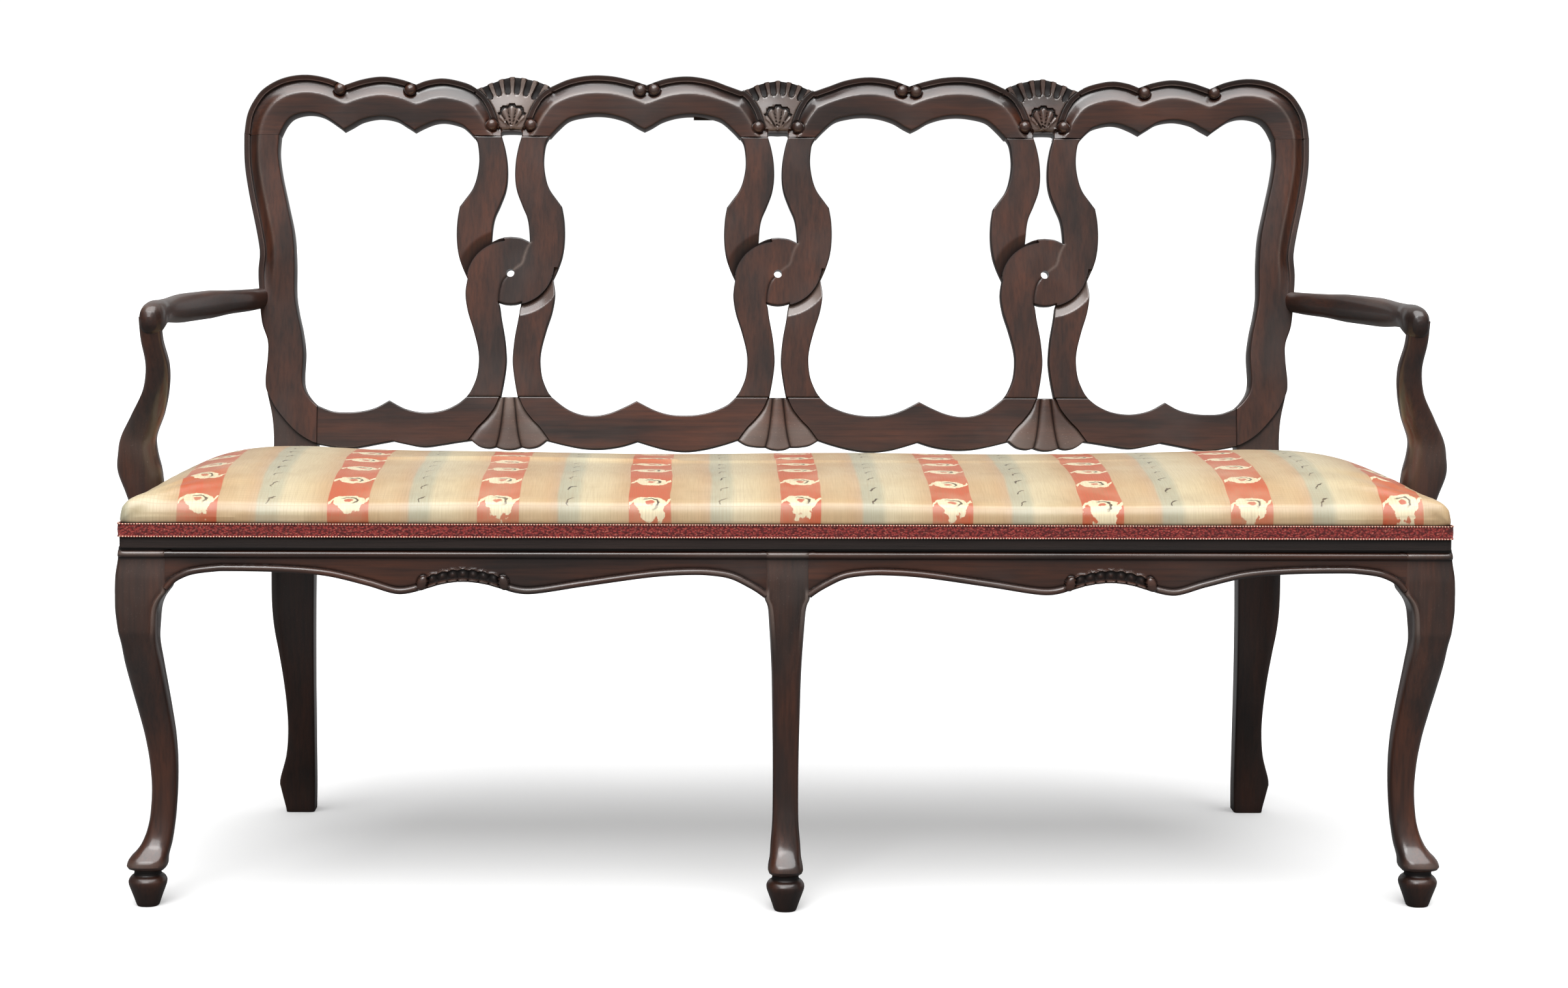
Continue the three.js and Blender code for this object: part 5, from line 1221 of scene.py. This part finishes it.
def apron_surface(points, edge, hump):
    """Height, painted shade, and rubbing with painted highlight of an apron's face: roll on top, bead below
    and scallops over its hump.
    """
    u, v = points.T
    near_edge = distance(points, edge)
    ceiling = RAIL_TOP - v
    side = np.sign(hump)
    past_leg = np.minimum(side * u + APRON_END, -APRON_START - side * u)
    sunk = -1.9 * ramp(past_leg, 0, 40) * ramp(ceiling, 12.4, 42)
    height = top_moulding(ceiling) + sunk
    bead = -0.4 + 3.2 * bulge(near_edge - 3.9, 3.9)
    groove = line(near_edge - 8.4, 1.2)
    height = np.where(near_edge < 7.8, bead, height - 0.8 * groove)
    # Painted shade in the groove, along the edge, under the seat and under the roll; painted highlight on
    # the bead and the roll.
    lines = (0.85 * groove, 0.6 * line(near_edge, 1.1), 0.85 * (1 - ramp(ceiling, 3, 5)),
             0.6 * line(ceiling - 13, 1.2))
    painted_shade_and_seams = np.max(lines, axis=0)
    wear_and_highlight = 0.6 * line(near_edge - 4.6, 1.8) + 0.5 * line(ceiling - 7, 2.0)
    height, painted_shade_and_seams, wear_and_highlight = scallops(height, painted_shade_and_seams, wear_and_highlight, u - hump, near_edge)
    return height, painted_shade_and_seams, wear_and_highlight


def apron(side, title):
    long = APRON_END - APRON_START
    edge = [sized(run, long, -APRON_DEEP) + (APRON_START, RAIL_TOP) for run in APRON_EDGE]
    runs = [*edge, np.array([edge[-1][-1], (APRON_END, RAIL_TOP), (APRON_START, RAIL_TOP), edge[0][0]])]
    loop = loop_of(runs, 1.5)
    bead = np.vstack([smooth_run(run, 1.5) for run in edge])
    if side > 0:
        loop = loop[::-1] * (-1, 1)
        bead = bead[::-1] * (-1, 1)
    hump = -side * (APRON_START + 0.494 * long)
    over_hump = bead[np.abs(bead[:, 0] - hump) < LOBE * LOBES / 2 + 12]
    rows = [(path, tuple(way * offset for way in (-1, 1) for offset in offsets))
            for path, offsets in ((bead, BEAD_ROWS), (over_hump, np.arange(1.0, BAND + 3, 0.9)))]
    carved_board(f"carved_apron_{title}", loop, rows, lambda p: apron_surface(p, bead, hump),
                 flat_back(-24.0), on_front, [f"front_apron_{title}"], cell=2.0)


for side, title in SIDES:
    apron(side, title)

# Arms and their supports

ARM_HEIGHT = RAIL_TOP + 275
ARM_START = 92
ARM_LENGTH = POST_FRONT - ARM_START + 70
ARM_HALF = 19
ARM_RINGS = 130
ARM_FRONT = KNEE - 25
ARM_INWARD = ARM_FRONT - STILE * 0.95
ARM_PATH = [(0, 0, 0.75), (0.006, 0, 0.72), (0.022, 0, 0.65), (0.05, 0.01, 0.55), (0.10, 0.01, 0.35),
            (0.17, 0, 0.22), (0.26, 0, 0.30), (0.44, 0.07, 0.55), (0.64, 0.28, 0.75), (0.75, 0.49, 0.80),
            (0.87, 0.72, 0.90), (0.965, 0.86, 0.97), (1, 0.97, 1)]
ARM_SIZE = [(0.22, 0.30), (0.50, 0.66), (0.72, 0.95), (0.80, 1.05), (0.78, 0.98), (0.72, 0.82),
            (0.80, 0.82), (0.94, 0.98), (0.94, 0.97), (0.86, 0.84), (0.76, 0.78), (0.66, 0.74),
            (0.60, 0.72)]
ARM_TOP = [(-1, -0.1), (-0.93, 0.5), (-0.6, 0.93), (-0.1, 1.0), (0.45, 0.8), (0.95, 0.42)]
ARM_UNDER = [(0.95, 0.42), (1.0, -0.1), (0.9, -0.62), (0.45, -0.98), (-0.35, -1.0), (-0.85, -0.65),
             (-1, -0.1)]


def evenly(run, count):
    """A run of points drawn again with a number of even steps."""
    drawn = smooth_run(run, 0.01)
    lengths = np.concatenate([[0], np.cumsum(np.linalg.norm(np.diff(drawn, axis=0), axis=1))])
    places = np.linspace(0, lengths[-1], count + 1)[:-1]
    return np.stack([np.interp(places, lengths, drawn[:, k]) for k in (0, 1)], -1)


def arm(side, title):
    path = drawn_out([(a * ARM_LENGTH, b * ARM_INWARD, c * 12) for a, b, c in ARM_PATH], ARM_RINGS)
    sizes = drawn_out(sized(ARM_SIZE, ARM_HALF, ARM_HALF), ARM_RINGS)
    faceted = np.vstack([evenly(ARM_TOP, 22), evenly(ARM_UNDER, 34)])
    turn = np.unwrap(np.arctan2(faceted[:, 1], faceted[:, 0]))
    round_shape = np.stack([np.cos(turn), np.sin(turn)], -1)
    round_shape = np.sign(round_shape) * np.abs(round_shape)**(1 / 1.3)
    rings = []
    for k, (along, inward, down) in enumerate(path):
        heading = path[min(k + 1, ARM_RINGS - 1)] - path[max(k - 1, 0)]
        heading = np.array([heading[1], heading[0], 0]) / np.hypot(heading[0], heading[1])
        sideways = np.array([heading[1], -heading[0], 0])
        wide, tall = sizes[k]
        share = along / ARM_LENGTH
        crisp = ramp(share, 0.08, 0.24) * (1 - ramp(share, 0.86, 0.98))
        shape = round_shape + (faceted - round_shape) * crisp
        ring = np.array([inward - ARM_FRONT, ARM_START + along, ARM_HEIGHT - down])
        ring = ring - shape[:, :1] * wide * sideways + shape[:, 1:] * tall * (0, 0, 1)
        rings.append(at_home(ring * (-side, 1, 1)))
    piece = finished(f"shaped_arm_{title}", drawn_ring(rings), walnut, "frame", [f"arm_{title}"], "y", 28)
    # Darker all over, with painted shade underneath and painted highlight along the top.
    shade_piece(piece, lambda p: 0.3 + 0.4 * ramp(-p[:, 2], -ARM_HEIGHT + 6, -ARM_HEIGHT + 16),
                lambda p: 0.6 * ramp(p[:, 2], ARM_HEIGHT - 2, ARM_HEIGHT + 10))


SUPPORT_PLACE = [(0, 0.68, 0), (0.105, 0.53, 0), (0.228, 0.35, 0), (0.298, 0.235, 0), (0.388, 0.045, 0),
                 (0.458, 0, 0.045), (0.514, 0.05, 0.104), (0.615, 0.506, 0.343), (0.717, 0.888, 0.552),
                 (0.812, 1, 0.716), (0.914, 0.868, 0.896), (1, 0.84, 1)]
SUPPORT_SIZE = [(0.51, 0.66), (0.62, 0.68), (0.73, 0.70), (0.87, 0.74), (1, 0.78), (0.89, 0.76),
                (0.81, 0.72), (0.735, 0.66), (0.58, 0.58), (0.527, 0.54), (0.49, 0.51), (0.49, 0.50)]
SUPPORT_LOW = RAIL_TOP - 54
SUPPORT_HALF = 27.5


def support(side, title):
    rise = ARM_HEIGHT - 4 - SUPPORT_LOW
    path = drawn_out([(b * 34, -c * 67, a * rise) for a, b, c in SUPPORT_PLACE], 100)
    sizes = drawn_out(sized(SUPPORT_SIZE, SUPPORT_HALF, SUPPORT_HALF), 100)
    places = [(side * (KNEE + 5 - x), 175 + y, SUPPORT_LOW + z) for x, y, z in path]
    bm = drawn_ring(level_rings(places, sizes, oval(1.5, 44)))
    piece = finished(f"shaped_support_{title}", bm, walnut, "frame", [f"arm_support_{title}"], "z")
    # Painted shade under the arm, painted highlight down the front of the curve.
    shade_piece(piece, lambda p: 0.5 * np.exp(-np.abs(p[:, 2] - 712) / 6),
                lambda p: 0.5 * ramp(p[:, 2], 480, 560) * ramp(-p[:, 2], -640, -560))


for side, title in SIDES:
    arm(side, title)
    support(side, title)

# Rails, fittings and the loose seat's frame

BLOCK_FOOT = 427.0  # height that the corner blocks are planed off to


def trimmed_block(title):
    """A corner block with its foot planed off, so that the apron hides it."""
    node = nodes[f"corner_block_{title}"]
    bm = bmesh.new()
    bm.from_mesh(node.data)
    bm.transform(node.matrix_world)
    everything = bm.verts[:] + bm.edges[:] + bm.faces[:]
    cut = bmesh.ops.bisect_plane(bm, geom=everything, dist=1e-6, plane_co=(0, 0, BLOCK_FOOT * MM),
                                 plane_no=(0, 0, -1), clear_outer=True)["geom_cut"]
    bmesh.ops.holes_fill(bm, edges=[part for part in cut if isinstance(part, bmesh.types.BMEdge)])
    finished(f"glue_block_{title}", bm, inner_timber, "frame", [f"corner_block_{title}"])


for name in ("side_rail_left", "side_rail_right"):
    kept_node(name, walnut, "y")
kept_node("rear_seat_rail", walnut)
kept_node("rear_bearer", inner_timber)
kept_node("cross_brace", inner_timber, "y")
for _, title in SIDES:
    trimmed_block(title)
    kept_node(f"seat_frame_{title}", seat_timber, "y")
    for number in (1, 2):
        kept_node(f"arm_screw_{number}_{title}", iron)
for name in ("mending_plate", "mending_screw_1", "mending_screw_2"):
    kept_node(name, iron)
for name in ("seat_frame_front", "seat_frame_rear"):
    kept_node(name, seat_timber)
kept_node("seat_frame_bar", seat_timber, "y")
kept_node("seat_webbing", jute)
kept_node("seat_base_cloth", linen)

# Seat: striped satin cushion and crimson braid

SEAT_FRONT = KNEE - 1.5
SEAT_REAR = REAR + 25
SEAT_NEAR, SEAT_FAR = -2, POST_FRONT - 6
SEAT_LOW = RAIL_TOP + 0.3
CUSHION_LOW = SEAT_LOW + 28.3
BRAID_LOW = SEAT_LOW + 13.0
BRAID_HEIGHT = 17.0
SEAT_SLOPE = (SEAT_FRONT - SEAT_REAR) / (SEAT_FAR - SEAT_NEAR)


def seat_plan(outwards, radius, step=6.0):
    """The seat's outline seen from above, from the middle of its front edge and round it."""
    lean = math.cos(math.atan(SEAT_SLOPE))
    corners = []
    near, far = SEAT_NEAR - outwards, SEAT_FAR + outwards
    for y, side in ((near, 1), (far, 1), (far, -1), (near, -1)):
        corners.append(np.array([side * (SEAT_FRONT - (y - SEAT_NEAR) * SEAT_SLOPE + outwards / lean), y]))
    points = [np.array([0, near])]
    for k, corner in enumerate(corners):
        before, after = corners[k - 1] - corner, corners[(k + 1) % 4] - corner
        start = corner + before / np.linalg.norm(before) * radius
        end = corner + after / np.linalg.norm(after) * radius
        for t in np.linspace(0, 1, 9):
            points.append((1 - t)**2 * start + 2 * t * (1 - t) * corner + t**2 * end)
    points.append(points[0])
    points = np.array(points)
    lengths = np.concatenate([[0], np.cumsum(np.linalg.norm(np.diff(points, axis=0), axis=1))])
    count = round(lengths[-1] / step)
    places = np.arange(count) / count * lengths[-1]
    return np.stack([np.interp(places, lengths, points[:, k]) for k in (0, 1)], -1)


CUSHION_SIDE = 35  # height of its sides
CUSHION_CROWN = 14  # how much higher its middle is
END_SWELL = 14  # how much fuller it is toward the arms
PUFF = 5.5  # what the cover swells by
WEAVE = 6.5  # size of the faces that the cover is simulated with
PRESSURE, STIFFNESS, BENDING = 4, 25, 1.2
STEPS = 20


def cushion_body(step=7.0):
    """The cushion as it is cut, before it puffs up: drawn-in sides, a rounded edge and a low crown."""
    plan = seat_plan(0, 9, step)
    half = (SEAT_FAR - SEAT_NEAR) / 2
    middle = half + SEAT_NEAR
    side = CUSHION_SIDE - PUFF * 0.4
    rings = [(-1.2, 0, 0), (1.6, 0.1, 0.12), (2.2, 0.4, 0.28), (1.6, 0.6, 0.50)]
    rings = [(out, drawn, CUSHION_LOW + side * up) for out, drawn, up in rings]
    for turn in np.linspace(0, np.pi / 2, 8)[1:]:
        out = 1.6 - 15 * (1 - np.cos(turn))
        rings.append((out, 0.6, CUSHION_LOW + side * (0.50 + 0.50 * np.sin(turn))))
    for share in np.linspace(0, 0.965, 22)[1:]:
        inset = 13.4 + (half - 13.4) * share
        crown = (CUSHION_CROWN - PUFF * 0.6) * (1 - (1 - share)**3.4)
        rings.append((-inset, 0.6 * (1 - share), CUSHION_LOW + side + crown))
    stations = []
    for out, drawn, z in rings:
        x = plan[:, 0] * (1 + out / SEAT_FRONT)
        deep = (plan[:, 1] - middle) / half
        pull = drawn * 3 * (1 - (plan[:, 0] / SEAT_FRONT)**2) * np.abs(deep)
        y = middle + (plan[:, 1] - middle) * (1 + (out - pull) / half)
        over_edge = ramp(z, CUSHION_LOW + side * 0.55, CUSHION_LOW + side)
        depth = (y - middle) / half
        ends = END_SWELL * line(np.abs(x) - 715, 150) * np.clip(1 - depth**2, 0, 1)
        lift = over_edge * (ends - 5 * ramp(depth, 0.1, 1))
        stations.append(at_home(np.stack([x, y, z + lift], -1)))
    return drawn_ring(stations)


def applied(piece, kind, name, **settings):
    """One modifier put on a piece and applied to its mesh."""
    added = piece.modifiers.new(name, kind)
    for key, value in settings.items():
        setattr(added, key, value)
    bpy.context.view_layer.objects.active = piece
    bpy.ops.object.modifier_apply(modifier=name)


def puffed_up(piece):
    """The cushion's cover under pressure, tacked down all round its foot."""
    applied(piece, "REMESH", "weave", mode="VOXEL", voxel_size=WEAVE * MM)
    start = corners_of(piece.data)
    foot = (CUSHION_LOW + 4) * MM
    tacked = piece.vertex_groups.new(name="tacked")
    tacked.add([int(k) for k in np.flatnonzero(start[:, 2] < foot)], 1.0, "REPLACE")
    cloth = piece.modifiers.new("cover", "CLOTH")
    cloth.settings.use_pressure = True
    cloth.settings.uniform_pressure_force = PRESSURE
    cloth.settings.vertex_group_mass = "tacked"
    cloth.settings.effector_weights.gravity = 0
    cloth.settings.tension_stiffness = cloth.settings.compression_stiffness = STIFFNESS
    cloth.settings.bending_stiffness = BENDING
    cloth.collision_settings.use_collision = False
    for number in range(1, STEPS + 1):
        bpy.context.scene.frame_set(number)
    shaped = piece.evaluated_get(bpy.context.evaluated_depsgraph_get())
    swollen = corners_of(shaped.data)
    piece.modifiers.remove(cloth)
    piece.vertex_groups.remove(tacked)
    bpy.context.scene.frame_set(1)
    moved = swollen - start
    far = np.linalg.norm(moved, axis=1)[:, None]
    most = PUFF * 1.4 * MM
    settled = start + moved * most / (most + far)
    settled[:, 2] = np.maximum(settled[:, 2], CUSHION_LOW * MM)
    piece.data.vertices.foreach_set("co", settled.ravel())
    piece.data.update()


def stuffing(piece):
    """Low swells left by the stuffing, strongest along the back."""
    places = corners_of(piece.data)
    x, y, z = (places / MM - (0, SHIFT, 0)).T
    top = ramp(z, CUSHION_LOW + 10, CUSHION_LOW + 26)
    swell = np.sin(x / 71 + 0.6) * 0.9 + np.sin(x / 163 + y / 90 + 1.9) * 1.1
    swell += np.sin(y / 58 - x / 240) * 0.7
    places[:, 2] += top * (swell - 1.4) * MM
    piece.data.vertices.foreach_set("co", places.ravel())
    piece.data.update()


REPEAT = 182.8  # from one red stripe to the next
STRIPE_START = -8.1
RED_SHARE = 0.266
STRIPES = [(place, colour(*tone)) for place, tone in (  # from a red stripe to the next
    (0.0, (188, 88, 54)), (RED_SHARE, (190, 90, 56)), (RED_SHARE + 0.004, (192, 162, 122)),
    (0.40, (196, 168, 128)), (0.46, (194, 162, 122)), (0.52, (190, 160, 126)), (0.54, (174, 170, 146)),
    (0.66, (180, 176, 150)), (0.70, (204, 190, 156)), (0.84, (204, 184, 146)), (0.95, (196, 166, 126)),
    (0.996, (194, 160, 122)), (1.0, (188, 88, 54)),
)]


def striped_satin():
    finish = Finish("silk")
    home = finish.home()
    x, y, _ = home.parts()
    sway = finish.node("TexNoise", "Color", Vector=home, Scale=7.0, Detail=2.0).parts()
    blur = finish.node("TexNoise", "Color", Vector=home, Scale=110.0).parts()
    x, y = [place + part.level(0, 1, -0.006, 0.006) for place, part in zip((x, y), sway)]
    share = ((x - STRIPE_START * MM) / (REPEAT * MM)).worked("FRACT")
    across = share * REPEAT + blur[0].level(0, 1, -4.5, 4.5)
    depth = y * 1000 + blur[1].level(0, 1, -4.5, 4.5)
    base, ink = medallions(finish, finish.colours(share, STRIPES), across, depth)
    base = finish.blend(ink, base, colour(62, 54, 46))
    ribs = finish.threads(home, (1100, 34, 34), 2)
    base = finish.blend(ribs.level(0.38, 0.72, 0, 0.26), base, colour(150, 122, 84))
    cloudy = finish.noise(home, 12.0)
    lines = finish.wave(home, "Y", 58.0, 0.4).level(0.9, 1.0)
    lines = lines.worked("MAXIMUM", finish.wave(home, "X", 74.0, 0.4).level(0.92, 1.0))
    lines = lines * cloudy.level(0.40, 0.62, 0.05, 0.34)
    base = finish.blend(lines, base, colour(150, 118, 80))
    base = finish.blend(cloudy.level(0.45, 0.75, 0, 0.24), base, colour(232, 220, 188))
    soil = finish.noise(home, 26.0, 4)
    base = finish.blend(soil.level(0.5, 0.8, 0, 0.3), base, colour(148, 122, 86))
    return finish.done(Base_Color=base, Roughness=ribs.level(0.3, 0.7, 0.30, 0.44), Specular_IOR_Level=0.7,
                       Normal=finish.bump(ribs + lines * 0.4, 0.3), Sheen_Weight=0.2, Sheen_Roughness=0.4)


def medallions(finish, cloth, across, depth):
    """Cream rosettes down the red stripes and small deep brown sprigs down the pale ones."""
    red_middle, pale_middle = REPEAT * RED_SHARE / 2, REPEAT * 0.605
    along, short = [(depth / pitch).worked("FRACT") * pitch - pitch / 2 for pitch in (64, 38)]
    aside, beside = across - red_middle, across - pale_middle
    reach = abs(aside / 18)**2 + abs(along / 13)**2
    on_red = abs(aside).level(red_middle + 0.2, red_middle - 0.2)
    rosette = reach.level(1.0, 0.9) * on_red
    leaf = abs(along + (aside / 6.5).worked("SINE") * 9).level(3.6, 3.0) * on_red
    base = finish.blend(rosette.worked("MAXIMUM", leaf), cloth, colour(230, 216, 180))
    heart = abs(reach - 0.34).level(0.13, 0.06) * (aside + along).level(-3, 3) * rosette
    base = finish.blend(reach.level(0.10, 0.05) * rosette, base, colour(190, 96, 72))
    tilt = beside * 0.55 + short * 0.83
    rise = short * 0.55 - beside * 0.83
    sprig = abs(rise + tilt * tilt * 0.05).level(1.3, 0.8) * abs(tilt).level(8.5, 7.0)
    return base, heart.worked("MAXIMUM", sprig)


def crimson_braid():
    finish = Finish("braid")
    uv = finish.node("UVMap", 0, {"uv_map": "along"})
    knots = finish.node("TexVoronoi", "Distance", Vector=finish.stretched(uv, (330, 420, 1)), Scale=1.0)
    middle = BRAID_HEIGHT / 2
    edge = abs(uv.parts()[1] - middle * MM).level((middle - 1.9) * MM, (middle - 1.5) * MM)
    dots = finish.wave(uv, "X", 92.0).level(0.5, 0.75)
    tones = finish.threads(uv, (300, 300, 1), 2)
    base = finish.blend(knots.level(0.2, 0.7), colour(166, 58, 52), colour(92, 24, 26))
    base = finish.blend(tones.level(0.55, 0.70, 0, 0.6), base, colour(198, 112, 94))
    base = finish.blend(edge * dots, base, colour(236, 196, 170))
    return finish.done(Base_Color=base, Roughness=0.85, Sheen_Weight=0.2,
                       Normal=finish.bump(knots, 0.8, 0.0012))


silk = striped_satin()
braid_cloth = crimson_braid()
cushion = finished("cushion", cushion_body(), silk, "seat", ["seat_cushion"])
puffed_up(cushion)
stuffing(cushion)
applied(cushion, "SUBSURF", "smooth", levels=1, render_levels=1)
cushion.data.shade_smooth()


def braid_band():
    """A woven band sewn round the seat, with a corded edge above and below."""
    outline = seat_plan(0.4, 8.4, 2.0)
    count = len(outline)
    ahead = np.roll(outline, -1, 0) - np.roll(outline, 1, 0)
    outward = np.stack([ahead[:, 1], -ahead[:, 0]], -1) / np.linalg.norm(ahead, axis=1)[:, None]
    profile = [(0, 0.2), (1.8, 0), (2.5, 0.8), (1.8, 1.6), (1.4, 2.2)]
    profile += [(1.9, BRAID_HEIGHT / 2), *[(out, BRAID_HEIGHT - up) for out, up in profile[::-1]]]
    bm = bmesh.new()
    along = bm.loops.layers.uv.new("along")
    order = bm.verts.layers.int.new("order")
    level = bm.verts.layers.float.new("level")
    edges, rings = [], []
    for out, up in profile:
        ring = [bm.verts.new(at_home((*(p + n * out), BRAID_LOW + up))) for p, n in zip(outline, outward)]
        for k, corner in enumerate(ring):
            corner[order] = k
            corner[level] = up
        rings.append(ring)
        edges += [bm.edges.new((ring[k], ring[(k + 1) % count])) for k in range(count)]
    for near, far in zip(rings, [*rings[1:], rings[0]]):
        for k in range(count):
            n = (k + 1) % count
            bm.faces.new((near[k], near[n], far[n], far[k]))
    step = 2.0 * MM
    for face in bm.faces:
        numbers = [loop.vert[order] for loop in face.loops]
        closing = max(numbers) - min(numbers) > 2
        for loop, number in zip(face.loops, numbers):
            place = number + (count if closing and number < 2 else 0)
            loop[along].uv = (place * step, loop.vert[level] * MM)
    return finished("woven_braid", bm, braid_cloth, "seat", ["seat_braid"])


braid_band()

# Floor, light and camera

SUNS = [  # name, where it stands, how many degrees wide, strength
    ("overhead", (0.0, -1.0, 2.9), 62, 3.9),
    ("window", (-0.5, -2.1, 1.9), 24, 0.75),
    ("fill", (0.3, -2.4, 1.3), 120, 0.5),
    ("behind", (0.8, 2.2, 1.5), 100, 0.55),
]


def studio():
    """A pale floor in a plain world, both brighter to the eye than the light they give, and four suns."""
    bm = bmesh.new()
    bmesh.ops.create_grid(bm, x_segments=1, y_segments=1, size=14)
    floor_mesh = bpy.data.meshes.new("floor")
    bm.to_mesh(floor_mesh)
    bm.free()
    floor = bpy.data.objects.new("floor", floor_mesh)
    bpy.context.scene.collection.objects.link(floor)
    paper = Finish("paper")
    seen_straight = paper.node("LightPath", "Is Camera Ray")
    tone = paper.blend(seen_straight, (0.14, 0.14, 0.14, 1), (0.80, 0.80, 0.80, 1))
    floor_mesh.materials.append(paper.done(Base_Color=tone, Roughness=1.0, Specular_IOR_Level=0.0,
                                           Emission_Color=(1, 1, 1, 1),
                                           Emission_Strength=seen_straight * 0.27))
    world = bpy.data.worlds.new("studio")
    world.use_nodes = True
    parts = world.node_tree.nodes
    lit = parts["Background"]
    kinds = ("Background", "MixShader", "LightPath")
    seen, both, path = [parts.new("ShaderNode" + kind) for kind in kinds]
    seen.inputs[0].default_value = lit.inputs[0].default_value = (1, 1, 1, 1)
    seen.inputs[1].default_value = 1.05
    lit.inputs[1].default_value = 0.11
    links = world.node_tree.links
    links.new(path.outputs["Is Camera Ray"], both.inputs[0])
    links.new(lit.outputs[0], both.inputs[1])
    links.new(seen.outputs[0], both.inputs[2])
    links.new(both.outputs[0], parts["World Output"].inputs[0])
    bpy.context.scene.world = world
    for name, place, spread, strength in SUNS:
        lamp = bpy.data.lights.new(name, "SUN")
        lamp.angle = math.radians(spread)
        lamp.energy = strength
        made = bpy.data.objects.new(name, lamp)
        made.location = place
        made.rotation_euler = (-Vector(place)).to_track_quat("-Z", "Y").to_euler()
        bpy.context.scene.collection.objects.link(made)


CAMERA_PLACE = (-106.1, -3584.8, 1015.0)
CAMERA_TURN = (0.883, 4.905, 0.268)  # degrees to the right, down and round
FOCAL_WIDTHS = 4592.7 / 2408  # focal length in widths of the picture


def camera():
    yaw, pitch, roll = np.radians(CAMERA_TURN)
    ahead = Vector((math.sin(yaw) * math.cos(pitch), math.cos(yaw) * math.cos(pitch), -math.sin(pitch)))
    right = Vector((math.cos(yaw), -math.sin(yaw), 0))
    up = right.cross(ahead)
    right, up = right * math.cos(roll) + up * math.sin(roll), up * math.cos(roll) - right * math.sin(roll)
    lens = bpy.data.cameras.new("camera")
    lens.sensor_width = 36
    lens.lens = lens.sensor_width * FOCAL_WIDTHS
    lens.shift_x = 0.0238
    lens.shift_y = -0.10
    lens.clip_end = 60
    made = bpy.data.objects.new("camera", lens)
    bpy.context.scene.collection.objects.link(made)
    turn = Matrix((right, up, -ahead)).transposed().to_4x4()
    made.matrix_world = Matrix.Translation(Vector(at_home(CAMERA_PLACE))) @ turn
    bpy.context.scene.camera = made


studio()
camera()
bpy.context.scene.view_settings.view_transform = "Standard"
